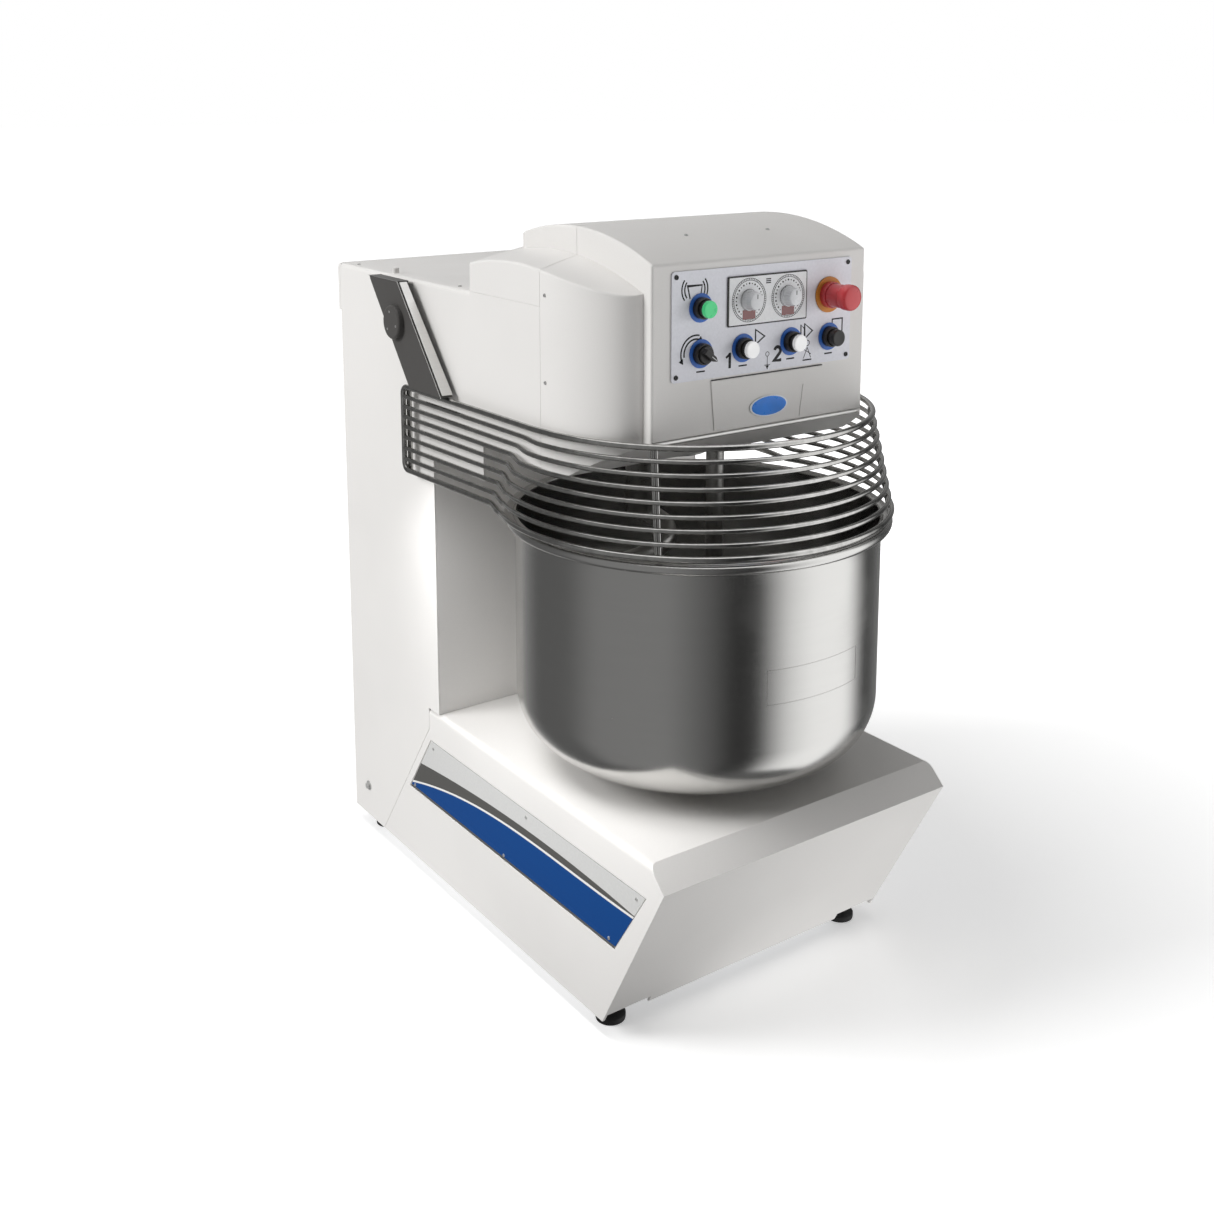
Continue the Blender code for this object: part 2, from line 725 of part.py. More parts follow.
def seam_region(front, clearance):
    """The plan of the space in front of, or behind, the seam between the two head covers."""
    rim = 0.40
    seam = [
        (-rim, HEAD_SEAM_SIDE_Y),
        (-CASE_HALF, HEAD_SEAM_SIDE_Y),
        (-NOSE_HALF, HEAD_SEAM_NOSE_Y),
        (NOSE_HALF, HEAD_SEAM_NOSE_Y),
        (CASE_HALF, HEAD_SEAM_SIDE_Y),
        (rim, HEAD_SEAM_SIDE_Y),
    ]
    step = -clearance if front else clearance
    far = -0.6 if front else 0.3
    return [(-rim, far)] + [(x, y + step) for x, y in seam] + [(rim, far)]


def head_front_cover():
    cover = joined("head_front_cover", [shoulder_body(), nose_body()], white_paint())
    cut(cover, below_chamfer())
    hollow = joined("head_hollow", [shoulder_body(SHEET, 0.80), nose_body(SHEET, 0.80)], white_paint())
    cut(hollow, below_chamfer(SHEET * 1.2))
    below = bmesh.new()
    below.from_mesh(hollow.data)
    bpy.data.objects.remove(hollow, do_unlink=True)
    cut(cover, below)
    seam = 0.0004
    cut(cover, prism(seam_region(False, -seam), 2, 0.8, 1.4))
    return cut(cover, moved(rod(BAR_RADIUS + 0.002, 0.85, 0.98), (0, BAR_Y, 0)))


def head_rear_cover():
    bottom = COLUMN_TOP + GAP
    bodies = [shoulder_body(bottom=bottom), nose_body(bottom=bottom)]
    cover = joined("head_rear_cover", bodies, white_paint())
    hollow = joined("head_hollow", [shoulder_body(SHEET, 1.10), nose_body(SHEET, 1.10)], white_paint())
    inside = bmesh.new()
    inside.from_mesh(hollow.data)
    bpy.data.objects.remove(hollow, do_unlink=True)
    cut(cover, inside)
    return cut(cover, prism(seam_region(True, -0.0004), 2, 1.0, 1.4))


def head_bottom_plate():
    """Closes the head underneath, from the column to the chamfer."""
    inward = SHEET + 0.0015
    right = [(CASE_HALF - inward, COLUMN_FRONT - GAP)]
    for k in range(6):
        y = SHOULDER_BEND_Y - (-CHAMFER_BACK_Y + SHOULDER_BEND_Y - 0.006) * k / 5
        right.append((shoulder_half_width(y) - inward, y))
    outline = right + [(-x, y) for x, y in right[::-1]]
    low = HEAD_BOTTOM + 0.0005
    plate = node("head_bottom_plate", prism(outline, 2, low, low + SHEET), white_paint())
    cut(plate, moved(rod(0.0625, 0.88, 0.93), (0, SPIRAL_Y, 0)))
    return cut(plate, moved(rod(BAR_RADIUS + 0.002, 0.88, 0.93), (0, BAR_Y, 0)))


def head_frame():
    """Plate that carries the spiral's bearing, with two upright stiffeners."""
    low, top = HEAD_PLATE_Z
    arm_half, column_half, fin_x, fin_rise = 0.190, 0.245, (0.180, 0.186), 0.075
    pieces = [
        box((-column_half, -0.150, low), (column_half, 0.500, top)),
        box((-arm_half, -0.330, low), (arm_half, -0.140, top)),
    ]
    for side in (-1, 1):
        x = sorted((side * fin_x[0], side * fin_x[1]))
        pieces.append(box((x[0], -0.325, top - 0.004), (x[1], 0.480, top + fin_rise)))
    frame = joined("head_frame", pieces, frame_paint())
    housing_hole = rod(SPIRAL_HOUSING_RADIUS + 0.0005, low - SHEET, top + SHEET)
    cut(frame, moved(housing_hole, (0, SPIRAL_Y, 0)))
    return cut(frame, moved(rod(0.040, low - SHEET, top + SHEET), (0, DRIVE_Y, 0)))


def head_edge_trim():
    radius = 0.003
    z = CHAMFER_FRONT_Z - 0.0035
    y = NOSE_FRONT - radius - GAP
    bar = moved(rod(radius, -NOSE_HALF + 0.004, NOSE_HALF - 0.014, 8), (0, y, z), (1, 0, 0))
    return node("head_edge_trim", bar, bright_steel())


def front_insert():
    """Raised plate under the control panel."""
    outline = [(-0.098, 0.972), (0.119, 0.972), (0.129, 1.052), (-0.106, 1.052)]
    rear = NOSE_FRONT - GAP
    return node("front_insert", prism(outline, 1, rear - INSERT_THICKNESS, rear), white_paint())


def badge_plate():
    steps = 24
    outline = []
    for k in range(steps):
        turn = 2 * math.pi * k / steps
        outline.append((BADGE[0] + 0.0395 * math.cos(turn), BADGE[1] + 0.017 * math.sin(turn)))
    back = NOSE_FRONT - 2 * GAP - INSERT_THICKNESS
    finish = material("badge_blue", (0.02, 0.16, 0.55), 0.3)
    return node("badge_plate", prism(outline, 1, back - 0.002, back), finish)


# ---------------------------------------------------------------- bowl


def bowl():
    """Turned bowl: a straight wall, a wide bottom corner and a rolled rim."""
    steps = 6
    centre = (BOWL_RADIUS - BOWL_CORNER, BOWL_BOTTOM + BOWL_CORNER)
    inner_corner = BOWL_CORNER - BOWL_WALL
    angles = [math.pi / 2 * k / steps for k in range(steps + 1)]
    outer = [(centre[0] + BOWL_CORNER * math.sin(a), centre[1] - BOWL_CORNER * math.cos(a)) for a in angles]
    inner = [(centre[0] + inner_corner * math.sin(a), centre[1] - inner_corner * math.cos(a)) for a in angles]
    roll, roll_steps = [], 6
    for k in range(roll_steps + 1):
        angle = math.radians(-120 + 250 * k / roll_steps)
        roll.append((RIM_RING_RADIUS + RIM_ROLL * math.cos(angle), RIM_Z + RIM_ROLL * math.sin(angle)))
    lip_in = (BOWL_RADIUS - BOWL_WALL, RIM_Z + RIM_ROLL * 0.5)
    profile = [(0, BOWL_BOTTOM)] + outer + [(BOWL_RADIUS, RIM_Z - RIM_ROLL - 0.004)] + roll + [lip_in]
    profile += inner[::-1] + [(0, BOWL_BOTTOM + BOWL_WALL)]
    return node("bowl", moved(turned(profile, BOWL_STEPS), (0, BOWL_Y, 0)), satin_steel())


def bowl_shaft():
    """Flanged shaft under the bowl."""
    top, shoulder_radius, flange_radius = BOWL_BOTTOM - GAP, 0.040, 0.120
    profile = [(0, 0.110), (SHAFT_RADIUS, 0.110), (SHAFT_RADIUS, 0.338), (shoulder_radius, 0.338)]
    profile += [(shoulder_radius, 0.3665), (flange_radius, 0.3705), (flange_radius, top), (0, top)]
    return node("bowl_shaft", moved(turned(profile), (0, BOWL_Y, 0)), satin_steel())


def housing(name, y, profile):
    """A turned bearing housing with a bore right through."""
    low, high = min(z for _, z in profile), max(z for _, z in profile)
    ring = [(HOUSING_BORE, low)] + profile + [(HOUSING_BORE, high)]
    finish = material("cast_iron", (0.12, 0.12, 0.13), 0.6, 0.4)
    return node(name, moved(turned(ring), (0, y, 0)), finish)


def bowl_bearing_housing():
    """Hangs in the base frame's bridge by its flange."""
    radius, flange_radius, seat = BOWL_HOUSING_RADIUS, 0.075, BRIDGE_Z[1] + GAP
    profile = [(radius, 0.180), (radius, seat), (flange_radius, seat)]
    profile += [(flange_radius, 0.314), (radius, 0.318), (radius, 0.330)]
    return housing("bowl_bearing_housing", BOWL_Y, profile)


def pulley(name, y, radius, belt_z, bore):
    """A pulley with a low flange at each end, and a bore."""
    margin, flange, rise = 0.004, 0.003, 0.005
    low, high, lip = belt_z[0] - margin, belt_z[1] + margin, radius + rise
    profile = [(bore, low), (lip, low), (lip, low + flange), (radius, low + flange)]
    profile += [(radius, high - flange), (lip, high - flange), (lip, high), (bore, high)]
    finish = material("pulley_grey", (0.3, 0.3, 0.31), 0.5, 0.6)
    return node(name, moved(turned(profile), (0, y, 0)), finish)


def belt(name, front_pulley, rear_pulley, belt_z):
    """A flat belt round two pulleys, each given as (y, radius)."""
    thickness, clearance, steps, edge = 0.004, 0.0025, 10, 0.001
    (front_y, front_radius), (rear_y, rear_radius) = front_pulley, rear_pulley
    lean = math.asin((front_radius - rear_radius) / (rear_y - front_y))
    loops = []
    for extra in (clearance, clearance + thickness):
        points = []
        for centre, radius, start, sweep in (
            (rear_y, rear_radius, lean, math.pi - 2 * lean),
            (front_y, front_radius, math.pi - lean, math.pi + 2 * lean),
        ):
            for k in range(steps + 1):
                turn = start + sweep * k / steps
                out = radius + extra
                points.append((out * math.cos(turn), centre + out * math.sin(turn)))
        loops.append(points)
    made = bmesh.new()
    rings = []
    for z in (belt_z[0] + edge, belt_z[1] - edge):
        for points in loops:
            rings.append([made.verts.new((x, y, z)) for x, y in points])
    inner_low, outer_low, inner_high, outer_high = rings
    around = (inner_low, outer_low, outer_high, inner_high, inner_low)
    for a, b in zip(around, around[1:]):
        for i in range(len(a)):
            j = (i + 1) % len(a)
            made.faces.new((a[i], a[j], b[j], b[i]))
    return node(name, made, black_rubber())


def motor(name, low, high, radius, shaft):
    """A vertical motor with a square flange, a terminal box and a shaft, given as (low, high, radius)."""
    shaft_low, shaft_high, shaft_radius = shaft
    corner, neck, half = 0.02, radius * 0.8, radius * 0.95
    body = [(0, low), (neck, low), (radius, low + corner)]
    body += [(radius, high - corner), (neck, high), (0, high)]
    faces_up = shaft_high > high
    plate_low = high - MOTOR_FLANGE_SUNK if faces_up else low + MOTOR_FLANGE_SUNK - MOTOR_FLANGE
    box_x, box_half, box_z = (radius * 0.5, radius + 0.035), 0.04, (low + 0.06, low + 0.15)
    pieces = [
        turned(body),
        box((-half, -half, plate_low), (half, half, plate_low + MOTOR_FLANGE)),
        rod(shaft_radius, shaft_low, shaft_high),
        box((box_x[0], -box_half, box_z[0]), (box_x[1], box_half, box_z[1])),
    ]
    for piece in pieces:
        moved(piece, (0, DRIVE_Y, 0))
    return joined(name, pieces, material("motor_blue_grey", (0.16, 0.20, 0.24), 0.5))


def spiral_motor():
    """Hangs from the upper shelf, shaft upwards."""
    high = UPPER_SHELF_Z - GAP - MOTOR_FLANGE + MOTOR_FLANGE_SUNK
    shaft = (high - MOTOR_FLANGE, SPIRAL_BELT_Z[1] + 0.008, SPIRAL_MOTOR_SHAFT)
    return motor("spiral_motor", high - 0.289, high, 0.092, shaft)


def bowl_motor():
    """Stands on the lower shelf, shaft downwards."""
    low = LOWER_SHELF_Z + SHELF_THICKNESS + GAP + MOTOR_FLANGE - MOTOR_FLANGE_SUNK
    shaft = (BOWL_BELT_Z[0] - 0.008, low + MOTOR_FLANGE, BOWL_MOTOR_SHAFT)
    return motor("bowl_motor", low, low + 0.234, 0.075, shaft)


# ---------------------------------------------------------------- spiral


def spiral_shaft():
    """Shaft that carries the hook on a collar."""
    collar, low, top = SHANK_RADIUS, 0.874, 1.156
    profile = [(0, low), (collar, low), (collar, 0.884), (SHAFT_RADIUS, 0.890), (SHAFT_RADIUS, top), (0, top)]
    return node("spiral_shaft", moved(turned(profile), (0, SPIRAL_Y, 0)), satin_steel())


def spiral_path():
    """Centre line of the hook: down the axis, out to the reach, then a helix to the bottom."""
    points = []
    steps = 40
    start_angle = math.radians(-60)
    for k in range(steps + 1):
        t = k / steps
        turned_by = start_angle - 2 * math.pi * SPIRAL_TURNS * max(t - 0.08, 0) / 0.92
        spread = min(t / 0.26, 1.0)
        reach = SPIRAL_REACH * math.sin(math.pi / 2 * spread) ** 1.3
        if t > 0.88:
            reach *= 1 - 0.45 * ((t - 0.88) / 0.12) ** 2
        z = SPIRAL_TOP + 0.020 + (SPIRAL_END - SPIRAL_TOP - 0.020) * t
        points.append((reach * math.cos(turned_by), SPIRAL_Y + reach * math.sin(turned_by), z))
    return points


def spiral_hook():
    """Shank with a flange, and the spiral bar that sweeps the bowl."""
    profile = [(0, SPIRAL_TOP), (SHANK_RADIUS * 0.8, SPIRAL_TOP), (SHANK_RADIUS, SPIRAL_TOP + 0.012)]
    profile += [(SHANK_RADIUS, 0.8735), (0, 0.8735)]
    shank = moved(turned(profile), (0, SPIRAL_Y, 0))
    hook = node("spiral_hook", tube(spiral_path(), SPIRAL_ROD, 8), satin_steel())
    return combine(hook, shank)


def spiral_bearing_housing():
    """Hangs in the head frame's plate by its flange."""
    radius, flange_radius, seat = SPIRAL_HOUSING_RADIUS, 0.095, HEAD_PLATE_Z[1] + GAP
    profile = [(radius, 0.912), (radius, seat), (flange_radius, seat)]
    profile += [(flange_radius, 1.000), (radius, 1.006), (radius, 1.080)]
    return housing("spiral_bearing_housing", SPIRAL_Y, profile)


def hook_bearing_cap():
    """Stadium-shaped cap under the head, round the hook's shaft."""
    rear, front, radius, steps = SPIRAL_Y, -0.155, 0.058, 9
    outline = []
    for centre, start in ((rear, 0), (front, math.pi)):
        for k in range(steps + 1):
            turn = start + math.pi * k / steps
            outline.append((radius * math.cos(turn), centre + radius * math.sin(turn)))
    cap = node("hook_bearing_cap", prism(outline, 2, 0.884, HEAD_BOTTOM), satin_steel())
    return cut(cap, moved(rod(0.031, 0.85, 0.95), (0, SPIRAL_Y, 0)))


def breaker_bar():
    bottom = BOWL_BOTTOM + BOWL_WALL + 0.020
    bar = rod(BAR_RADIUS, bottom, 0.972)
    return node("breaker_bar", moved(bar, (0, BAR_Y, 0)), satin_steel())


# ---------------------------------------------------------------- controls


def facing_front(made, x, z, y):
    """Places a shape made along +Z so that it points at the operator, with its base at y."""
    return moved(made, (x, y, z), (0, -1, 0))


def control_panel():
    plate = prism(rounded(rectangle(PANEL_X, PANEL_Z), 0.006), 1, FRONT_PANEL, FRONT_PANEL + PANEL_THICKNESS)
    return node("control_panel", plate, material("panel_grey", (0.55, 0.56, 0.60), 0.4, 0.3))


def timer_bezel():
    outline = rounded(rectangle((-0.0765, 0.088), (1.133, 1.212)), 0.003, 2)
    rear = FRONT_PANEL - GAP
    plate = prism(outline, 1, rear - TIMER_THICKNESS, rear)
    return node("timer_bezel", plate, material("bezel_black", (0.03, 0.03, 0.03), 0.4))


def timer_knob(name, x):
    face = FRONT_PANEL - TIMER_THICKNESS - 2 * GAP
    profile = [(0, 0), (0.0165, 0), (0.0165, 0.003), (0.0145, 0.004)]
    profile += [(0.013, 0.018), (0.0115, 0.0195), (0, 0.0195)]
    finish = material("knob_grey", (0.72, 0.73, 0.75), 0.3)
    return node(name, facing_front(turned(profile, SMALL_STEPS), x, TIMER_Z, face), finish)


def button_bezel(name, x, z):
    """Collar on a thin ring, with the button's bore."""
    bore = BUTTON_RADIUS + 0.0006
    profile = [(bore, 0), (0.0227, 0), (0.0227, 0.0012), (0.0178, 0.0016)]
    profile += [(0.0178, 0.010), (0.0165, 0.012), (bore, 0.012)]
    finish = material("ring_blue", (0.03, 0.17, 0.58), 0.4)
    return node(name, facing_front(turned(profile, SMALL_STEPS), x, z, FRONT_PANEL - GAP), finish)


def button(name, x, z, finish):
    edge = 0.002
    profile = [(0, 0.0055), (BUTTON_RADIUS, 0.0055), (BUTTON_RADIUS, 0.025 - edge)]
    profile += [(BUTTON_RADIUS - edge, 0.025), (0, 0.025)]
    return node(name, facing_front(turned(profile, SMALL_STEPS), x, z, FRONT_PANEL - GAP), finish)


def selector_knob(x, z):
    """Round knob with a raised grip that points at its setting."""
    face = FRONT_PANEL - GAP
    base = rod(BUTTON_RADIUS, 0.0055, 0.016, SMALL_STEPS)
    knob = node("selector_knob", facing_front(base, x, z, face), black_plastic())
    tip, tail, half = 0.0155, -0.0125, 0.0045
    outline = [(tail, -half), (tip - 0.006, -half), (tip, 0), (tip - 0.006, half), (tail, half)]
    turn = math.radians(-38)
    placed = []
    for along, across in outline:
        px = x + along * math.cos(turn) - across * math.sin(turn)
        pz = z + along * math.sin(turn) + across * math.cos(turn)
        placed.append((px, pz))
    return combine(knob, prism(placed, 1, face - 0.026, face - 0.0125))


def estop_collar():
    bore = 0.0128
    profile = [(bore, 0), (0.0295, 0), (0.0295, 0.002), (0.0185, 0.0025)]
    profile += [(0.0185, 0.015), (0.0165, 0.018), (bore, 0.018)]
    finish = material("estop_orange", (0.62, 0.25, 0.04), 0.45)
    return node("estop_collar", facing_front(turned(profile), *ESTOP, FRONT_PANEL - GAP), finish)


def estop_button():
    profile = [(0, 0.008), (0.0122, 0.008), (0.0122, 0.026), (0.0185, 0.031), (0.0205, 0.037)]
    profile += [(0.0205, 0.046), (0.0175, 0.0535), (0.010, 0.057), (0, 0.0578)]
    finish = material("estop_red", (0.60, 0.03, 0.04), 0.35)
    return node("estop_button", facing_front(turned(profile), *ESTOP, FRONT_PANEL - GAP), finish)


# ---------------------------------------------------------------- guard


def wire_shape(i):
    """(height, ring centre y, ring radius, side x, bend start y, bend end y, side lift) of one wire."""
    t = i / (WIRE_COUNT - 1)
    height = WIRE_TOP_Z - WIRE_PITCH * i
    centre, radius = -0.189 - 0.018 * t, 0.3109 + 0.0228 * t
    side_x = 0.3115 - 0.0045 * min(i / 5, 1)
    bend_start = -0.185 + 0.140 * min(i / 8, 1) ** 0.75
    bend_end = bend_start - 0.052
    lift = 0.006 * min(i / 4, 1)
    return height, centre, radius, side_x, bend_start, bend_end, lift


def half_wire(i):
    """The left half of one guard wire, from its rear end to the front centre."""
    height, centre, radius, side_x, bend_start, bend_end, lift = wire_shape(i)
    rear = (-GUARD_REAR_X, GUARD_REAR_Y, height + lift)
    start = (-side_x, bend_start, height + lift)
    first_angle = math.asin(min((centre - bend_end) / radius, 1))
    ring_x = -radius * math.cos(first_angle)
    points = [rear, start]
    bend_steps = 3
    for k in range(1, bend_steps):
        t = k / bend_steps
        ease = t * t * (3 - 2 * t)
        x = -side_x + (ring_x + side_x) * ease
        points.append((x, bend_start + (bend_end - bend_start) * t, height + lift * (1 - ease)))
    ring_steps = 7
    for k in range(ring_steps + 1):
        angle = first_angle + (math.pi / 2 - first_angle) * k / ring_steps
        points.append((-radius * math.cos(angle), centre - radius * math.sin(angle), height))
    return points


def whole_wire(i):
    left = half_wire(i)
    return left + [(-x, y, z) for x, y, z in left[-2::-1]]


def frame_loop_side(side):
    """Rounded rear end that joins the top wire to the bottom wire on one side."""
    top, bottom = whole_wire(0)[0], whole_wire(WIRE_COUNT - 1)[0]
    corner = 0.014
    x = side * GUARD_REAR_X
    y = GUARD_REAR_Y
    points = []
    for z, way in ((top[2], -1), (bottom[2], 1)):
        arc = []
        for k in range(4):
            angle = math.pi / 2 * k / 3
            arc.append((x, y + corner * math.sin(angle), z + way * corner * (1 - math.cos(angle))))
        points += arc if way < 0 else arc[::-1]
    return points


def upright(side, angle_from_front, i_low, i_high, radius):
    """A rod that stands just inside the rings and ties them together."""
    inside, past_end = 0.0055, 0.003
    points = []
    for i, beyond in ((i_low, -past_end), ((i_low + i_high) // 2, 0), (i_high, past_end)):
        height, centre, ring, *_ = wire_shape(i)
        reach = ring - inside
        x = side * reach * math.sin(angle_from_front)
        points.append((x, centre - reach * math.cos(angle_from_front), height + beyond))
    return tube(points, radius)


def guard_cage():
    last = WIRE_COUNT - 1
    top = whole_wire(0)
    bottom = whole_wire(last)
    left, right = frame_loop_side(-1), frame_loop_side(1)
    loop = top[1:-1] + right + bottom[1:-1][::-1] + left[::-1]
    cage = node("guard_cage", tube(loop, FRAME_WIRE_RADIUS, 6, closed=True), bright_steel())
    others = bmesh.new()
    for i in range(1, last):
        wire = whole_wire(i)
        rear_y = GUARD_REAR_Y + 0.014
        wire = [(wire[0][0], rear_y, wire[0][2])] + wire[1:-1] + [(wire[-1][0], rear_y, wire[-1][2])]
        append(others, tube(wire, WIRE_RADIUS))
    for side in (-1, 1):
        for angle in UPRIGHT_ANGLES:
            append(others, upright(side, angle, last, 0, 0.003))
        x = side * (GUARD_REAR_X - 0.0062)
        rail = [(x, GUARD_REAR_Y + 0.003, z) for z in (wire_shape(last)[0] + 0.004, wire_shape(0)[0] + 0.002)]
        append(others, tube(rail, WIRE_RADIUS))
    return combine(cage, others, crossing=True)


def append(made, other):
    mesh = bpy.data.meshes.new("piece")
    bmesh.ops.recalc_face_normals(other, faces=other.faces)
    other.to_mesh(mesh)
    other.free()
    made.from_mesh(mesh)
    bpy.data.meshes.remove(mesh)


def arm_outline():
    """Side view of a guard arm as (y, z), anticlockwise."""
    bottom = WIRE_TOP_Z + FRAME_WIRE_RADIUS + 2 * GAP
    return [(0.071, bottom), (0.187, bottom), (0.337, 1.1605), (0.225, 1.1598)]


def guard_arm(name, side):
    """Folded channel with a round boss that covers the pivot."""
    boss_base = ARM_OUTSIDE - 0.0005
    pocket = PIVOT_RADIUS + 0.0005
    profile = [(0, 0.007), (pocket, 0.007), (pocket, 0), (0.031, 0)]
    profile += [(0.031, 0.0085), (0.028, 0.0115), (0, 0.0115)]

    def make_block():
        return prism(rounded(arm_outline(), 0.004, 2), 0, ARM_OUTSIDE - ARM_DEPTH, ARM_OUTSIDE)

    def make_hollow():
        hollow = inset(arm_outline(), ARM_SHEET)
        return prism(hollow, 0, ARM_OUTSIDE - ARM_DEPTH - 0.01, ARM_OUTSIDE - ARM_SHEET)

    def make_bore():
        through = rod(pocket, ARM_OUTSIDE - 0.01, ARM_OUTSIDE + 0.01)
        return moved(through, (0, PIVOT_Y, PIVOT_Z), (1, 0, 0))

    def make_boss():
        return moved(turned(profile), (boss_base, PIVOT_Y, PIVOT_Z), (1, 0, 0))

    arm = node(name, sided(make_block, side), dark_paint())
    cut(arm, sided(make_hollow, side), sided(make_bore, side))
    return combine(arm, sided(make_boss, side))


def guard_pivot(name, side):
    """Pin fixed to the column, which the arm turns on."""
    base = CASE_HALF + GAP
    reach = ARM_OUTSIDE + 0.004 - base
    profile = [(0, 0), (0.022, 0), (0.022, 0.006), (PIVOT_RADIUS, 0.006)]
    profile += [(PIVOT_RADIUS, reach), (0, reach)]

    def make():
        return moved(turned(profile), (base, PIVOT_Y, PIVOT_Z), (1, 0, 0))

    return node(name, sided(make, side), satin_steel())


# ---------------------------------------------------------------- electrics


def electrical_box():
    """Enclosure bolted to the front of the rear middle bar."""
    rear = POST_REAR_Y - 0.031 - GAP
    return node("electrical_box", box((-0.20, rear - 0.036, 0.505), (0.20, rear, 0.900)), frame_paint())


def cable_gland():
    profile = [(0, -0.014), (0.0145, -0.014), (0.0145, 0.0005), (0.019, 0.0005), (0.019, 0.008)]
    profile += [(0.013, 0.014), (0.0075, 0.0155), (0.0075, 0.002), (0, 0.002)]
    shape = moved(turned(profile, SMALL_STEPS), (INLET[0], COLUMN_REAR + 0.0002, INLET[1]), (0, 1, 0))
    return node("cable_gland", shape, black_plastic())


# ---------------------------------------------------------------- assembly


def build():
    clear_scene()

    base_frame()
    base_cover()
    trim_plate("trim_plate_left", -1)
    trim_plate("trim_plate_right", 1)
    feet()
    column_frame()
    column_side("column_side_left", -1)
    column_side("column_side_right", 1)
    column_front_panel()
    column_rear_cover()
    column_top_cover()
    head_frame()
    head_front_cover()
    head_rear_cover()
    head_bottom_plate()
    head_edge_trim()
    front_insert()
    badge_plate()
    hook_bearing_cap()
    breaker_bar()
    spiral_bearing_housing()
    bowl_bearing_housing()
    spiral_motor()
    bowl_motor()
    front_pulley, rear_pulley = (SPIRAL_Y, SPIRAL_PULLEY_RADIUS), (DRIVE_Y, SPIRAL_MOTOR_PULLEY_RADIUS)
    belt("spiral_belt", front_pulley, rear_pulley, SPIRAL_BELT_Z)
    front_pulley, rear_pulley = (BOWL_Y, BOWL_PULLEY_RADIUS), (DRIVE_Y, BOWL_MOTOR_PULLEY_RADIUS)
    belt("bowl_belt", front_pulley, rear_pulley, BOWL_BELT_Z)
    electrical_box()
    cable_gland()
    control_panel()
    timer_bezel()
    estop_collar()
    for name, (x, z) in CONTROLS.items():
        button_bezel(name + "_bezel", x, z)
    for name, side in (("guard_pivot_left", -1), ("guard_pivot_right", 1)):
        guard_pivot(name, side)

    bowl_axis = joint_empty("bowl_axis", (0, BOWL_Y, BOWL_BOTTOM))
    press_fit_bore = SHAFT_RADIUS + 0.0005
    bowl_pulley = pulley("bowl_pulley", BOWL_Y, BOWL_PULLEY_RADIUS, BOWL_BELT_Z, press_fit_bore)
    for piece in (bowl(), bowl_shaft(), bowl_pulley):
        hang(piece, bowl_axis)
    spiral_axis = joint_empty("spiral_axis", (0, SPIRAL_Y, SPIRAL_TOP))
    spiral_pulley = pulley("spiral_pulley", SPIRAL_Y, SPIRAL_PULLEY_RADIUS, SPIRAL_BELT_Z, press_fit_bore)
    for piece in (spiral_hook(), spiral_shaft(), spiral_pulley):
        hang(piece, spiral_axis)
    for name, radius, belt_z, shaft in (
        ("spiral_motor_pulley", SPIRAL_MOTOR_PULLEY_RADIUS, SPIRAL_BELT_Z, SPIRAL_MOTOR_SHAFT),
        ("bowl_motor_pulley", BOWL_MOTOR_PULLEY_RADIUS, BOWL_BELT_Z, BOWL_MOTOR_SHAFT),
    ):
        made = pulley(name, DRIVE_Y, radius, belt_z, shaft + 0.0005)
        set_origin(made, (0, DRIVE_Y, belt_z[0]))

    guard_axis = joint_empty("guard_axis", (0, PIVOT_Y, PIVOT_Z))
    hang(guard_cage(), guard_axis)
    for name, side in (("left", -1), ("right", 1)):
        hang(guard_arm("guard_arm_" + name, side), guard_axis)

    caps = {
        "jog": material("button_green", (0.07, 0.72, 0.27), 0.35),
        "speed_1": material("button_white", (0.85, 0.85, 0.85), 0.35),
        "speed_2": material("button_white", (0.85, 0.85, 0.85), 0.35),
        "stop": black_plastic(),
    }
    for name, finish in caps.items():
        x, z = CONTROLS[name]
        set_origin(button(name + "_button", x, z, finish), (x, FRONT_PANEL, z))
    x, z = CONTROLS["selector"]
    set_origin(selector_knob(x, z), (x, FRONT_PANEL, z))
    for name, x in zip(("timer_knob_left", "timer_knob_right"), TIMER_X):
        set_origin(timer_knob(name, x), (x, FRONT_PANEL, TIMER_Z))
    set_origin(estop_button(), (ESTOP[0], FRONT_PANEL, ESTOP[1]))


build()
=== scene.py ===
"""Looks of the spiral dough mixer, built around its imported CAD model. Metres, +Z up, front towards -Y."""

import json
import math

import bmesh
import bpy
from mathutils import Matrix, Vector


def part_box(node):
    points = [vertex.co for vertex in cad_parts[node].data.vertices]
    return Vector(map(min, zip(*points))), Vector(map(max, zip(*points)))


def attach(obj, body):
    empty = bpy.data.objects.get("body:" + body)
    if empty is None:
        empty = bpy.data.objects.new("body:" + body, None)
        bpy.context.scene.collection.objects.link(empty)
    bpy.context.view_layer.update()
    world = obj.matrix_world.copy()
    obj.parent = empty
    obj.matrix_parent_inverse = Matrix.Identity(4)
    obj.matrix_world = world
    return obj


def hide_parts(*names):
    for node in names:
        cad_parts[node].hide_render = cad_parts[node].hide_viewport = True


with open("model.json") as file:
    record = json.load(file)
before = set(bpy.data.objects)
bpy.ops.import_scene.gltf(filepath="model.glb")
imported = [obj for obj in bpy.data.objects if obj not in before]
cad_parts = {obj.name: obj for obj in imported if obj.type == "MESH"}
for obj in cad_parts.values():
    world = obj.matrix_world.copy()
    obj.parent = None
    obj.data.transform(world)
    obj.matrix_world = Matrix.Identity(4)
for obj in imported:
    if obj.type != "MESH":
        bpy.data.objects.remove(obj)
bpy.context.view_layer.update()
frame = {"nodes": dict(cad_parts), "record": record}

RECORD = frame["record"]
NODES = frame["nodes"]
BODY_OF = {node: body for body, nodes in RECORD["behaviour"]["bodies"].items() for node in nodes}
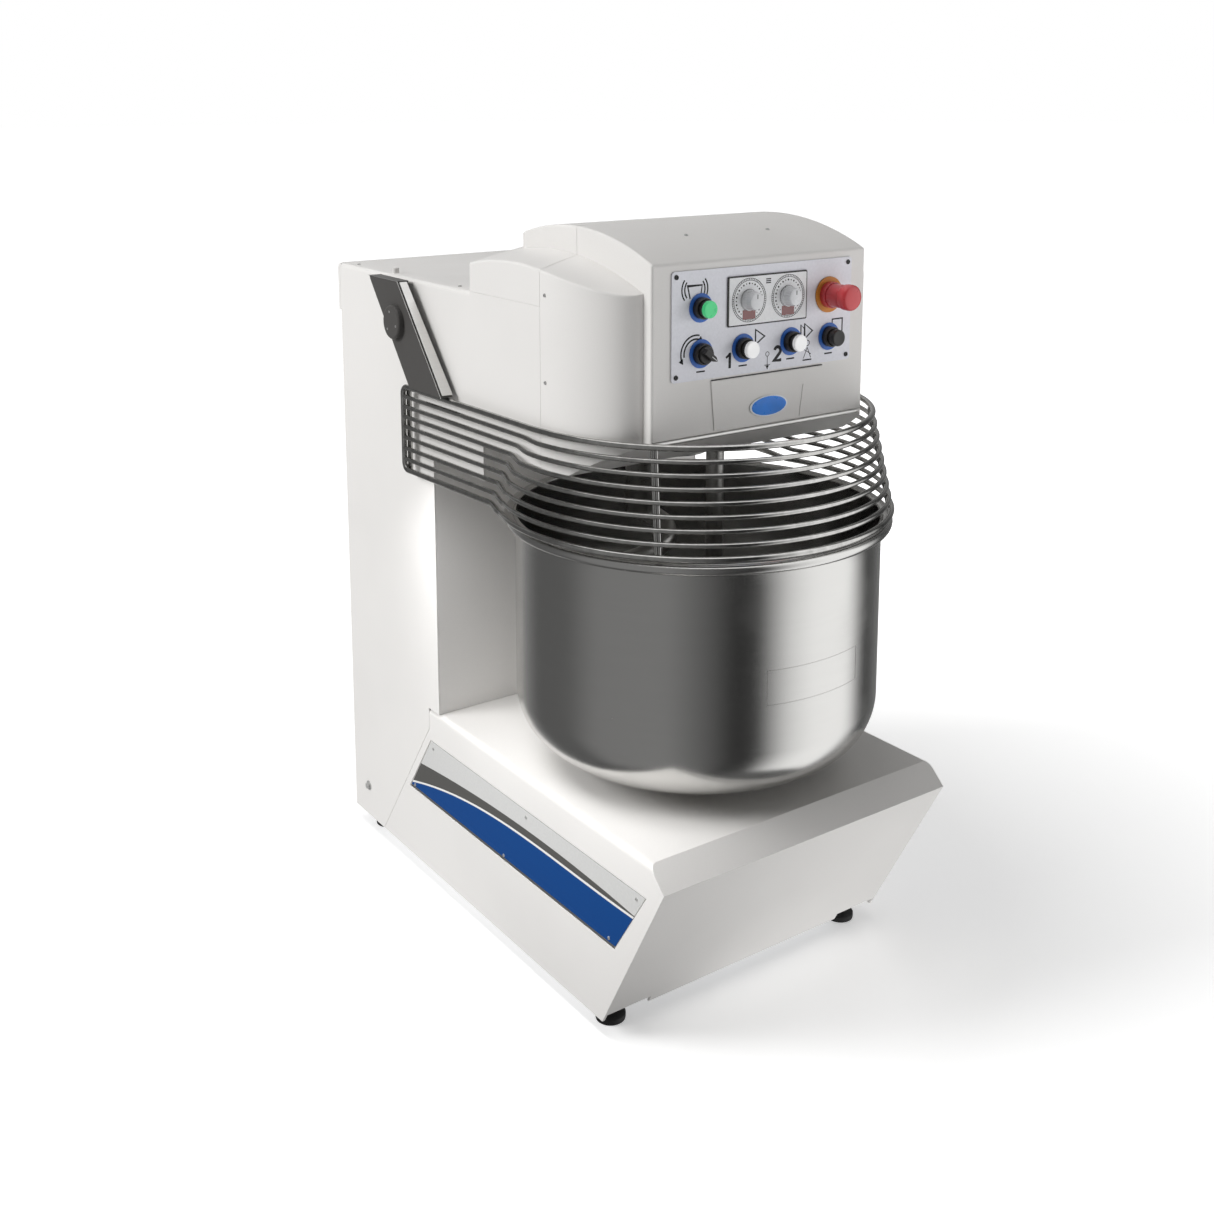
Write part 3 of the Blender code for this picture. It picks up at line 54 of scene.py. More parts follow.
SLOT_OF = {part["node"]: part["material_slot"] for part in RECORD["subparts"]}

# ---------------------------------------------------------------- places, from the frame

BOWL_LOW, BOWL_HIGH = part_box("bowl")
PANEL_LOW, PANEL_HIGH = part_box("control_panel")
HEAD_LOW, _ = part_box("head_front_cover")

SHEET = 0.003
SEAM = 0.0004  # half of a seam's width
CASE_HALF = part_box("base_cover")[1].x
COLUMN_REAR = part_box("column_side_left")[1].y
COLUMN_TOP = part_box("column_top_cover")[1].z
HEAD_BOTTOM = HEAD_LOW.z
NOSE_FRONT = HEAD_LOW.y
FACE = PANEL_LOW.y  # front face of the control panel
BOWL_Y = (BOWL_LOW.y + BOWL_HIGH.y) / 2
SPIRAL_Y = -0.06
BAR_Y = -0.265


def centre(node):
    low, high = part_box(node)
    return (low + high) / 2


# ---------------------------------------------------------------- node materials


class Nodes:
    """Short way to write a node material."""

    def __init__(self, name):
        self.material = bpy.data.materials.new(name)
        self.material.use_nodes = True
        self.tree = self.material.node_tree
        self.shader = self.tree.nodes["Principled BSDF"]
        self.place = self.add("ShaderNodeTexCoord").outputs["Object"]

    def add(self, kind, **settings):
        made = self.tree.nodes.new(kind)
        for key, value in settings.items():
            setattr(made, key, value)
        return made

    def feed(self, socket, value):
        if isinstance(value, bpy.types.NodeSocket):
            self.tree.links.new(value, socket)
        else:
            socket.default_value = value

    def set(self, **values):
        for key, value in values.items():
            self.feed(self.shader.inputs[key.replace("_", " ")], value)

    def noise(self, scale, detail=2.0, roughness=0.5, place=None, output="Fac"):
        made = self.add("ShaderNodeTexNoise")
        self.feed(made.inputs["Vector"], place or self.place)
        made.inputs["Scale"].default_value = scale
        made.inputs["Detail"].default_value = detail
        made.inputs["Roughness"].default_value = roughness
        return made.outputs[output]

    def stretched(self, scale):
        """The object's own coordinates, scaled by a different amount along each axis."""
        made = self.add("ShaderNodeMapping")
        self.feed(made.inputs["Vector"], self.place)
        made.inputs["Scale"].default_value = scale
        return made.outputs["Vector"]

    def round_the_axis(self, y, turns, rise):
        """Coordinates that run round a vertical axis and up it, for turned or brushed round pieces."""
        split = self.add("ShaderNodeSeparateXYZ")
        self.feed(split.inputs[0], self.place)
        back = self.math("SUBTRACT", split.outputs["Y"], y)
        angle = self.math("ARCTAN2", back, split.outputs["X"])
        squares = self.math("ADD", self.math("POWER", split.outputs["X"], 2), self.math("POWER", back, 2))
        radius = self.math("SQRT", squares)
        made = self.add("ShaderNodeCombineXYZ")
        self.feed(made.inputs["X"], self.math("MULTIPLY", angle, turns))
        self.feed(made.inputs["Y"], self.math("MULTIPLY", split.outputs["Z"], rise))
        self.feed(made.inputs["Z"], self.math("MULTIPLY", radius, rise))
        return made.outputs[0]

    def math(self, operation, first, second=0.0):
        made = self.add("ShaderNodeMath", operation=operation)
        self.feed(made.inputs[0], first)
        self.feed(made.inputs[1], second)
        return made.outputs[0]

    def ramp(self, value, *stops):
        """Colours or greys at positions between 0 and 1."""
        made = self.add("ShaderNodeValToRGB")
        self.feed(made.inputs[0], value)
        elements = made.color_ramp.elements
        while len(elements) < len(stops):
            elements.new(0.5)
        for element, (position, color) in zip(elements, stops):
            element.position = position
            element.color = (*color, 1) if isinstance(color, (tuple, list)) else (color, color, color, 1)
        return made.outputs[0]

    def bump(self, *layers):
        """Bump from (height, strength, depth in metres) layers, one on the other."""
        normal = None
        for height, strength, depth in layers:
            made = self.add("ShaderNodeBump")
            self.feed(made.inputs["Height"], height)
            made.inputs["Strength"].default_value = strength
            made.inputs["Distance"].default_value = depth
            if normal:
                self.feed(made.inputs["Normal"], normal)
            normal = made.outputs[0]
        self.feed(self.shader.inputs["Normal"], normal)


def shades(color, *factors):
    return [tuple(min(c * f, 1.0) for c in color) for f in factors]


def powder_coat(name, color, roughness=0.34, grain=1.0):
    """Sprayed and baked paint: orange peel, a fine speckle and faint clouds."""
    made = Nodes(name)
    dark, middle, light = shades(color, 0.955, 1.0, 1.02)
    clouds = made.noise(2.2, 3.0)
    tone = made.ramp(clouds, (0.3, dark), (0.5, middle), (0.75, light))
    speckle = made.ramp(made.noise(900.0, 1.0), (0.28, 0.93), (0.42, 1.0))
    mixed = made.add("ShaderNodeMix", data_type="RGBA", blend_type="MULTIPLY")
    mixed.inputs[0].default_value = 0.6
    made.feed(mixed.inputs[6], tone)
    made.feed(mixed.inputs[7], speckle)
    made.set(Base_Color=mixed.outputs[2], Metallic=0.0, Specular_IOR_Level=0.42)
    made.set(Roughness=made.ramp(made.noise(14.0, 4.0), (0.2, roughness - 0.05), (0.8, roughness + 0.07)))
    made.bump((made.noise(420.0, 2.0), 0.16 * grain, 0.0004), (made.noise(60.0, 1.0), 0.05 * grain, 0.001))
    return made.material


def brushed(name, color, roughness, y=None, spread=0.1, scratch=0.2):
    """Polished steel with fine grinding lines, round a vertical axis if y is given, else along X."""
    made = Nodes(name)
    around = made.round_the_axis(y, 6.0, 420.0) if y is not None else made.stretched((8.0, 420.0, 420.0))
    lines = made.noise(1.0, 3.0, 0.6, around)
    coarse = made.round_the_axis(y, 2.0, 90.0) if y is not None else made.stretched((2.0, 90.0, 90.0))
    bands = made.noise(1.0, 2.0, 0.5, coarse)
    dark, light = shades(color, 1 - spread / 2, 1 + spread / 2)
    tone = made.ramp(made.math("MULTIPLY", made.math("ADD", lines, bands), 0.5), (0.35, dark), (0.65, light))
    smears = made.noise(9.0, 4.0, 0.6)
    made.set(Base_Color=tone, Metallic=1.0)
    grinding = made.ramp(lines, (0.3, roughness - spread / 2), (0.7, roughness + spread / 2))
    made.set(Roughness=made.math("ADD", grinding, made.ramp(smears, (0.45, 0.0), (0.75, 0.07))))
    made.bump((lines, scratch, 0.00004), (bands, 0.02, 0.0001))
    return made.material


def drawn_wire(name, color, roughness):
    """Electropolished round wire."""
    made = Nodes(name)
    dark, light = shades(color, 0.8, 1.1)
    mottle = made.noise(70.0, 4.0, 0.6)
    made.set(Base_Color=made.ramp(mottle, (0.3, dark), (0.7, light)), Metallic=1.0)
    made.set(Roughness=made.ramp(made.noise(160.0, 3.0), (0.3, roughness - 0.05), (0.75, roughness + 0.1)))
    made.bump((made.noise(500.0, 2.0), 0.1, 0.00015))
    return made.material


def moulded(name, color, roughness=0.35, coat=0.0, glow=0.0, grain=260.0, depth=0.12):
    """Moulded plastic or rubber with a light texture. glow lights it from inside, as on a pilot button."""
    made = Nodes(name)
    dark, light = shades(color, 0.9, 1.06)
    made.set(Base_Color=made.ramp(made.noise(35.0, 3.0), (0.3, dark), (0.7, light)))
    made.set(Roughness=made.ramp(made.noise(60.0, 3.0), (0.3, roughness - 0.05), (0.75, roughness + 0.08)))
    made.set(Coat_Weight=coat, Coat_Roughness=0.12, Emission_Color=(*color, 1), Emission_Strength=glow)
    made.bump((made.noise(grain * 4, 2.0), depth, 0.0002))
    return made.material


def cast(name, color, roughness=0.6):
    """Rough casting, part metal."""
    made = Nodes(name)
    dark, light = shades(color, 0.7, 1.15)
    made.set(Base_Color=made.ramp(made.noise(45.0, 5.0, 0.65), (0.35, dark), (0.65, light)), Metallic=0.5)
    made.set(Roughness=made.ramp(made.noise(80.0, 3.0), (0.3, roughness - 0.1), (0.7, roughness + 0.1)))
    made.bump((made.noise(220.0, 4.0, 0.65), 0.5, 0.0006))
    return made.material


def printed(name, color, roughness=0.32, metallic=0.0, sparkle=0.03):
    """Printed overlay film: even colour with a very fine grain."""
    made = Nodes(name)
    dark, light = shades(color, 1 - sparkle, 1 + sparkle)
    made.set(Base_Color=made.ramp(made.noise(260.0, 3.0), (0.3, dark), (0.7, light)), Metallic=metallic)
    made.set(Roughness=made.ramp(made.noise(18.0, 3.0), (0.2, roughness - 0.03), (0.8, roughness + 0.03)))
    made.set(Specular_IOR_Level=0.2)
    made.bump((made.noise(350.0, 2.0), 0.03, 0.0001))
    return made.material


FINISHES = {  # how each material is made, and what its maker is given after the name
    "white_paint": (powder_coat, (0.8, 0.785, 0.765)),
    "dark_paint": (powder_coat, (0.078, 0.075, 0.072), 0.42),
    "frame_paint": (powder_coat, (0.3, 0.31, 0.32), 0.5),
    "satin_steel": (brushed, (0.6, 0.595, 0.58), 0.27),
    "bowl_steel": (brushed, (0.61, 0.605, 0.59), 0.21, BOWL_Y, 0.02, 0.012),
    "hook_steel": (brushed, (0.5, 0.495, 0.48), 0.3, SPIRAL_Y, 0.08, 0.15),
    "bright_steel": (drawn_wire, (0.52, 0.515, 0.5), 0.14),
    "flange_steel": (brushed, (0.66, 0.655, 0.64), 0.36),
    "black_plastic": (moulded, (0.018, 0.017, 0.017), 0.38),
    "black_rubber": (moulded, (0.014, 0.014, 0.014), 0.72, 0.0, 0.0, 120.0, 0.4),
    "knob_grey": (moulded, (0.78, 0.79, 0.81), 0.24, 0.5),
    "cast_iron": (cast, (0.12, 0.12, 0.13)),
    "pulley_grey": (cast, (0.28, 0.28, 0.29), 0.5),
    "motor_paint": (powder_coat, (0.16, 0.2, 0.24), 0.45, 2.0),
    "panel_grey": (printed, (0.79, 0.795, 0.85), 0.36, 0.08),
    "dial_face": (printed, (0.88, 0.885, 0.9), 0.3),
    "bezel_black": (moulded, (0.022, 0.02, 0.02), 0.35),
    "ink_black": (printed, (0.022, 0.022, 0.024), 0.4, 0.0, 0.15),
    "ring_blue": (moulded, (0.028, 0.145, 0.56), 0.34),
    "estop_orange": (moulded, (0.58, 0.22, 0.025), 0.42),
    "estop_red": (moulded, (0.62, 0.045, 0.055), 0.3, 0.4),
    "display_red": (moulded, (0.2, 0.045, 0.045), 0.18, 0.8),
    "button_green": (moulded, (0.055, 0.72, 0.25), 0.28, 0.5, 0.1),
    "button_white": (moulded, (0.92, 0.92, 0.92), 0.28, 0.5, 0.22),
    "trim_blue": (printed, (0.001, 0.055, 0.235), 0.38),
    "trim_grey": (printed, (0.6, 0.6, 0.59), 0.3),
    "trim_dark": (printed, (0.095, 0.093, 0.088), 0.3),
    "trim_line": (printed, (0.8, 0.79, 0.77), 0.3),
    "badge_blue": (moulded, (0.001, 0.215, 0.82), 0.3, 0.15, 0.0, 260.0, 0.04),
    "badge_rim": (moulded, (0.86, 0.9, 0.94), 0.3, 0.2, 0.0, 260.0, 0.04),
    "screw_steel": (printed, (0.52, 0.52, 0.51), 0.3, 0.35, 0.12),
    "screw_dark": (cast, (0.05, 0.05, 0.05), 0.45),
}
MATERIALS = {name: make(name, *values) for name, (make, *values) in FINISHES.items()}


# ---------------------------------------------------------------- mesh tools


def as_mesh(name, shape, outward=True):
    """A mesh from a bmesh, which is used up. outward turns its faces to point out."""
    mesh = bpy.data.meshes.new(name)
    if outward:
        bmesh.ops.recalc_face_normals(shape, faces=shape.faces)
    shape.to_mesh(mesh)
    shape.free()
    return mesh


def as_object(name, data):
    made = bpy.data.objects.new(name, data)
    bpy.context.scene.collection.objects.link(made)
    return made


def piece(name, shape, finish, body, stands_for=(), sharp=35.0):
    """A new piece of the object, from a bmesh, riding on a CAD body."""
    mesh = as_mesh(name, shape)
    mesh.materials.append(MATERIALS[finish])
    mesh.shade_smooth()
    mesh.set_sharp_from_angle(angle=math.radians(sharp))
    made = as_object(name, mesh)
    # Keeps large flat faces flat in shade beside their rounded edges.
    flatten = made.modifiers.new("flatten", "WEIGHTED_NORMAL")
    flatten.keep_sharp = True
    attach(made, body)
    if stands_for:
        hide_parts(*([stands_for] if isinstance(stands_for, str) else stands_for))
    return made


def joined(*shapes):
    """Several bmeshes as one, left as separate shells."""
    made = bmesh.new()
    for shape in shapes:
        mesh = as_mesh("part", shape)
        made.from_mesh(mesh)
        bpy.data.meshes.remove(mesh)
    return made


def box(low, high):
    made = bmesh.new()
    bmesh.ops.create_cube(made, size=1)
    bmesh.ops.scale(made, vec=[b - a for a, b in zip(low, high)], verts=made.verts)
    bmesh.ops.translate(made, vec=[(a + b) / 2 for a, b in zip(low, high)], verts=made.verts)
    return made


def skin(made, rings):
    """Faces between neighbouring rings of vertices."""
    for first, second in zip(rings, rings[1:]):
        for k in range(len(first)):
            m = (k + 1) % len(first)
            made.faces.new((first[k], first[m], second[m], second[k]))


def ribbon(made, rows, closed=False):
    """Faces of a thin strip between four lines of vertices: two on its back, then two on its front."""
    count = len(rows[0])
    for a, b in ((0, 1), (2, 3), (0, 2), (1, 3)):
        for k in range(count if closed else count - 1):
            m = (k + 1) % count
            made.faces.new((rows[a][k], rows[a][m], rows[b][m], rows[b][k]))
    if not closed:
        for k in (0, count - 1):
            made.faces.new((rows[0][k], rows[1][k], rows[3][k], rows[2][k]))


def prism(outline, axis, low, high):
    """An outline of points in the two other axes, in X, Y, Z order, extruded along the axis."""
    others = [i for i in range(3) if i != axis]
    made = bmesh.new()
    ends = []
    for level in (low, high):
        ring = []
        for point in outline:
            place = [0.0, 0.0, 0.0]
            place[others[0]], place[others[1]] = point
            place[axis] = level
            ring.append(made.verts.new(place))
        ends.append(ring)
    made.faces.new(ends[0])
    made.faces.new(ends[1][::-1])
    skin(made, ends)
    return made


def turned(profile, steps=64):
    """A closed (radius, height) profile, turned about Z."""
    made = bmesh.new()
    rings = []
    for radius, height in profile:
        if radius == 0:
            rings.append([made.verts.new((0, 0, height))] * steps)
            continue
        ring = []
        for i in range(steps):
            angle = 2 * math.pi * i / steps
            ring.append(made.verts.new((radius * math.cos(angle), radius * math.sin(angle), height)))
        rings.append(ring)
    for first, second in zip(rings, rings[1:] + rings[:1]):
        for i in range(steps):
            j = (i + 1) % steps
            corners = []
            for corner in (first[i], first[j], second[j], second[i]):
                if corner not in corners:
                    corners.append(corner)
            if len(corners) > 2:
                made.faces.new(corners)
    return made


def round_point(middle, radius, angle):
    """A point on a circle, with its angle in radians."""
    return middle[0] + radius * math.cos(angle), middle[1] + radius * math.sin(angle)


def arc(middle, radius, start, end, steps):
    """Points of an arc, with its angles in degrees."""
    angles = [math.radians(start + (end - start) * k / steps) for k in range(steps + 1)]
    return [round_point(middle, radius, angle) for angle in angles]


def tube(path, radius, sides=12, closed=False, taper=None):
    """A round bar along a list of points. taper gives the radius's share at each point."""
    points = [Vector(p) for p in path]
    count = len(points)
    made = bmesh.new()
    rings = []
    side = None
    for i, point in enumerate(points):
        before = points[i - 1] if i or closed else point
        after = points[(i + 1) % count] if i + 1 < count or closed else point
        along = (after - before).normalized()
        if side is None:
            side = along.orthogonal().normalized()
        side = (side - along * side.dot(along)).normalized()
        up = along.cross(side)
        reach = radius * (taper(i / (count - 1)) if taper else 1.0)
        ring = []
        for k in range(sides):
            turn = 2 * math.pi * k / sides
            ring.append(made.verts.new(point + reach * (side * math.cos(turn) + up * math.sin(turn))))
        rings.append(ring)
    skin(made, rings)
    if closed:
        last, start = rings[-1], rings[0]
        shift = min(range(sides), key=lambda s: (last[0].co - start[s].co).length)
        for k in range(sides):
            m = (k + 1) % sides
            made.faces.new((last[k], last[m], start[(m + shift) % sides], start[(k + shift) % sides]))
    else:
        made.faces.new(rings[0])
        made.faces.new(rings[-1][::-1])
    return made


def placed(shape, offset=(0, 0, 0), facing=None, spin=0.0):
    """Turns a shape made along +Z to face another way, then moves it."""
    if spin:
        bmesh.ops.rotate(shape, cent=(0, 0, 0), matrix=Matrix.Rotation(spin, 3, "Z"), verts=shape.verts)
    if facing is not None:
        turn = Vector((0, 0, 1)).rotation_difference(Vector(facing)).to_matrix()
        bmesh.ops.rotate(shape, cent=(0, 0, 0), matrix=turn, verts=shape.verts)
    bmesh.ops.translate(shape, vec=offset, verts=shape.verts)
    return shape


def mirrored(shape):
    bmesh.ops.transform(shape, matrix=Matrix.Scale(-1, 4, (1, 0, 0)), verts=shape.verts)
    bmesh.ops.reverse_faces(shape, faces=shape.faces)
    return shape


def lathe(name, profile, steps, place, finish, body, stands_for=(), facing=None, sharp=35.0):
    """A piece turned from a (radius, height) profile."""
    return piece(name, placed(turned(profile, steps), place, facing), finish, body, stands_for, sharp)


def softened(shape, width, segments=2, above=25.0, choose=None):
    """Rounds the edges that turn by more than an angle in degrees."""
    bmesh.ops.recalc_face_normals(shape, faces=shape.faces)
    edges = []
    for edge in shape.edges:
        if len(edge.link_faces) == 2 and edge.calc_face_angle(0) > math.radians(above):
            if choose is None or choose(edge):
                edges.append(edge)
    bmesh.ops.bevel(
        shape, geom=edges, offset=width, segments=segments, profile=0.5, affect="EDGES", clamp_overlap=True
    )
    return shape


def of_node(name):
    """A CAD node's mesh as a bmesh, with its flat faces made whole."""
    made = bmesh.new()
    made.from_mesh(NODES[name].data)
    bmesh.ops.remove_doubles(made, verts=made.verts, dist=1e-6)
    bmesh.ops.recalc_face_normals(made, faces=made.faces)
    bmesh.ops.dissolve_limit(made, angle_limit=math.radians(0.5), verts=made.verts, edges=made.edges)
    return made


def refined(node, width, segments=2, finish=None, above=25.0):
    """The CAD node again, with its edges rounded."""
    shape = softened(of_node(node), width, segments, above)
    return piece(node + "_sheet", shape, finish or SLOT_OF[node], BODY_OF[node], node)


def combine(target, tool, operation):
    """A Boolean of two bmeshes, which are used up. Returns a bmesh."""
    objects = [as_object("operand", as_mesh("operand", shape)) for shape in (target, tool)]
    modifier = objects[0].modifiers.new("shape", "BOOLEAN")
    modifier.operation = operation
    modifier.solver = "EXACT"
    modifier.object = objects[1]
    graph = bpy.context.evaluated_depsgraph_get()
    result = bmesh.new()
    result.from_mesh(objects[0].evaluated_get(graph).to_mesh())
    for made in objects:
        mesh = made.data
        bpy.data.objects.remove(made, do_unlink=True)
        bpy.data.meshes.remove(mesh)
    return result


# ---------------------------------------------------------------- screws


def cap_screw(place, facing, radius=0.003, height=0.0018, socket=0.5):
    """Domed screw head with a recessed socket."""
    hole = radius * socket
    profile = [(0, height * 0.35), (hole, height * 0.35), (hole, height * 0.97), (radius * 0.75, height)]
    profile += [(radius * 0.95, height * 0.6), (radius, 0), (0, 0)]
    return placed(turned(profile, 20), place, facing)


def hex_bolt(place, facing, radius=0.0065):
    """Hexagon head on a washer."""
    washer = turned([(0, 0), (radius * 1.5, 0), (radius * 1.5, 0.0012), (0, 0.0012)], 32)
    head = turned([(0, 0.0012), (radius, 0.0012), (radius, 0.005), (radius * 0.88, 0.0058), (0, 0.0058)], 6)
    return placed(joined(washer, head), place, facing)


# ---------------------------------------------------------------- base

TRIM = {  # corners of a side trim plate as (y, z)
    "rear_top": (0.1966, 0.2955),
    "front_top": (-0.4803, 0.298),
    "front_bottom": (-0.3969, 0.1725),
    "rear_bottom": (0.286, 0.169),
}
TRIM_SCREWS = (
    [(0.188, 0.281), (-0.138, 0.283), (-0.454, 0.285)]  # along the top
    + [(0.2645, 0.178), (-0.0635, 0.18), (-0.3815, 0.184)]  # along the bottom
)


def trim_point(u, v):
    """A point of the trim plate: u runs from its rear end to its front, v from its bottom edge to its top."""
    bottom = Vector(TRIM["rear_bottom"]).lerp(Vector(TRIM["front_bottom"]), u)
    top = Vector(TRIM["rear_top"]).lerp(Vector(TRIM["front_top"]), u)
    return tuple(bottom.lerp(top, v))


def upper_sweep(u):
    return 0.5 + 0.69 * u - 0.54 * u * u


def lower_sweep(u):
    return 0.08 + 1.956 * u - 2.571 * u * u + 1.135 * u**3


def trim_field(name, lower, upper, finish, side, stands_for=()):
    """One colour field between two curves across the plate."""
    steps, thickness = 48, 0.0012
    margin = 0.004
    spots = [margin + (1 - 2 * margin) * k / steps for k in range(steps + 1)]
    outline = [trim_point(u, lower(u)) for u in spots] + [trim_point(u, upper(u)) for u in reversed(spots)]
    back = CASE_HALF - 0.002
    shape = prism(outline, 0, back, back + thickness)
    if side == "left":
        shape = mirrored(shape)
    piece(f"{name}_{side}", shape, finish, "machine", stands_for)


def trim_plates():
    line = 0.036
    for side, way in (("left", -1), ("right", 1)):
        trim_field("trim_grey", upper_sweep, lambda u: 0.985, "trim_grey", side, "trim_plate_" + side)
        trim_field("trim_dark", lambda u: lower_sweep(u) + line, upper_sweep, "trim_dark", side)
        trim_field("trim_line", lower_sweep, lambda u: lower_sweep(u) + line, "trim_line", side)
        trim_field("trim_blue", lambda u: 0.045, lower_sweep, "trim_blue", side)
        trim_field("trim_lip", lambda u: 0.0, lambda u: 0.045, "flange_steel", side)
        x = way * (CASE_HALF - 0.0009)
        heads = [cap_screw((x, y, z), (way, 0, 0), 0.003, 0.0014) for y, z in TRIM_SCREWS]
        piece(f"trim_screws_{side}", joined(*heads), "screw_steel", "machine")


def base():
    refined("base_cover", 0.0022, 3)
    foot = [(0, 0), (0.022, 0), (0.0245, 0.0012), (0.025, 0.004), (0.025, 0.0105), (0.0235, 0.0125)]
    foot += [(0.017, 0.0165), (0.013, 0.019), (0.012, 0.021), (0.012, 0.03), (0, 0.03)]
    for node in ("foot_front_left", "foot_front_right", "foot_rear_left", "foot_rear_right"):
        middle = centre(node)
        lathe(node + "_pad", foot, 48, (middle.x, middle.y, 0), "black_rubber", "machine", node)
    trim_plates()
    refined("base_frame", 0.004, 3)


# ---------------------------------------------------------------- column


def column():
    for node in ("column_side_left", "column_side_right"):
        refined(node, 0.0009, 2)
    refined("column_front_panel", 0.0006, 2)
    refined("column_rear_cover", 0.0008, 2)
    refined("column_top_cover", 0.0012, 2)
    refined("column_frame", 0.003, 3)
    refined("electrical_box", 0.004, 3)
    bolts = [hex_bolt((way * CASE_HALF, 0.468, 0.0945), (way, 0, 0)) for way in (-1, 1)]
    piece("column_bolts", joined(*bolts), "screw_steel", "machine")
    heads = []
    for x in (-0.283, 0.283):
        heads += [cap_screw((x, y, COLUMN_TOP), (0, 0, 1), 0.0035, 0.0018) for y in (0.085, 0.48)]
    for x in (-0.27, 0, 0.27):
        heads += [cap_screw((x, COLUMN_REAR, z), (0, 1, 0), 0.004, 0.0022) for z in (0.06, 0.55, 1.02)]
    piece("column_screws", joined(*heads), "screw_steel", "machine")
    middle = centre("cable_gland")
    gland = [(0, -0.014), (0.0145, -0.014), (0.0145, 0.0005), (0.019, 0.0005), (0.019, 0.007)]
    gland += [(0.0165, 0.0085), (0.015, 0.0125), (0.0115, 0.0152), (0.0078, 0.0155), (0.0075, 0.002)]
    gland += [(0, 0.002)]
    place = (middle.x, COLUMN_REAR + 0.0002, middle.z)
    lathe("cable_gland_nut", gland, 48, place, "black_plastic", "machine", "cable_gland", (0, 1, 0))


# ---------------------------------------------------------------- head

NOSE_HALF = 0.2202
NOSE_TOP = (-0.168, 1.2835, 0.526)  # crest y, crest z, arc radius
SHOULDER_TOP = (-0.115, 1.2254, 0.667)
SHOULDER_RISE = 0.195
SHOULDER_BEND_Y = -0.21
SHOULDER_BEND_LENGTH = 0.15
SHOULDER_REAR = 0.0206
NOSE_REAR = -0.018
CHAMFER_FRONT_Z = 0.969
CHAMFER_BACK_Y = -0.263
SEAM_SIDE_Y = -0.1965
SEAM_NOSE_Y = -0.182


def arc_height(y, curve, drop=0.0):
    crest_y, crest_z, radius = curve
    return crest_z - drop - (radius - math.sqrt(radius**2 - (y - crest_y) ** 2))


def shoulder_half_width(y):
    if y >= SHOULDER_BEND_Y:
        return CASE_HALF
    t = min((SHOULDER_BEND_Y - y) / SHOULDER_BEND_LENGTH, 1.0)
    narrow = NOSE_HALF - 0.002
    return narrow + (CASE_HALF - narrow) * math.sqrt(1 - t * t)


def shoulder_solid(inward, bottom, edge_radius):
    """Sections across X, lofted from the rear to the front, with a rounded top edge."""
    bend, pitch, straights, curves = 5, 0.023, 10, 28
    straight = [SHOULDER_REAR - inward - pitch * k for k in range(straights)]
    turns = [math.pi / 2 * k / curves for k in range(curves + 1)]
    curved = [SHOULDER_BEND_Y - SHOULDER_BEND_LENGTH * math.sin(turn) for turn in turns]
    made = bmesh.new()
    sections = []
    for y in straight + curved:
        half = shoulder_half_width(y) - inward
        edge = arc_height(y, SHOULDER_TOP, inward)
        right = [(half, bottom)]
        radius = min(edge_radius, half * 0.2)
        for k in range(bend + 1):
            angle = math.pi / 2 * k / bend
            x = half - radius + radius * math.cos(angle)
            rise = SHOULDER_RISE * (CASE_HALF - inward - x)
            right.append((x, edge + rise - radius + radius * math.sin(angle)))
        inner = min(0.19, half - 0.02)
        right.append((inner, edge + SHOULDER_RISE * (CASE_HALF - inward - inner)))
        section = [(-x, z) for x, z in reversed(right)] + right
        sections.append([made.verts.new((x, y, z)) for x, z in section])
    made.faces.new(sections[0])
    made.faces.new(sections[-1][::-1])
    skin(made, sections)
    return made


def nose_solid(inward, bottom, edge_radius):
    front, rear = NOSE_FRONT + inward, NOSE_REAR - inward
    steps = 44
    outline = [(front, bottom), (rear, bottom)]
    for k in range(steps + 1):
        y = rear + (front - rear) * k / steps
        outline.append((y, arc_height(y, NOSE_TOP, inward)))
    made = prism(outline, 0, -NOSE_HALF + inward, NOSE_HALF - inward)

    def above_bottom(edge):
        heights = [v.co.z for v in edge.verts]
        return min(heights) > bottom - 1e-6 and max(heights) > bottom + 0.01

    return softened(made, edge_radius, 4, 40.0, above_bottom) if edge_radius else made


def head_solids(bottom, inner_bottom):
    """The head as a solid block, and the block to take out of it to leave a sheet."""
    outer_edge, inner_edge = 0.004, 0.002
    outer = combine(shoulder_solid(0.0, bottom, outer_edge), nose_solid(0.0, bottom, outer_edge), "UNION")
    shoulder = shoulder_solid(SHEET, inner_bottom, inner_edge)
    return outer, combine(shoulder, nose_solid(SHEET, inner_bottom, 0.0), "UNION")


def below_chamfer(shift):
    slope = (CHAMFER_FRONT_Z - HEAD_BOTTOM) / (NOSE_FRONT - CHAMFER_BACK_Y)
    reach = 0.05
    near = (CHAMFER_BACK_Y + reach, HEAD_BOTTOM + slope * reach + shift)
    far = (NOSE_FRONT - reach, CHAMFER_FRONT_Z - slope * reach + shift)
    return prism([(far[0], near[1] - 0.1), (near[0], near[1] - 0.1), near, far], 0, -0.4, 0.4)


def seam_region(front, clearance):
    rim = 0.4
    seam = [(-rim, SEAM_SIDE_Y), (-CASE_HALF, SEAM_SIDE_Y), (-NOSE_HALF, SEAM_NOSE_Y)]
    seam += [(-x, y) for x, y in reversed(seam)]
    step = -clearance if front else clearance
    far = -0.6 if front else 0.3
    return [(-rim, far)] + [(x, y + step) for x, y in seam] + [(rim, far)]


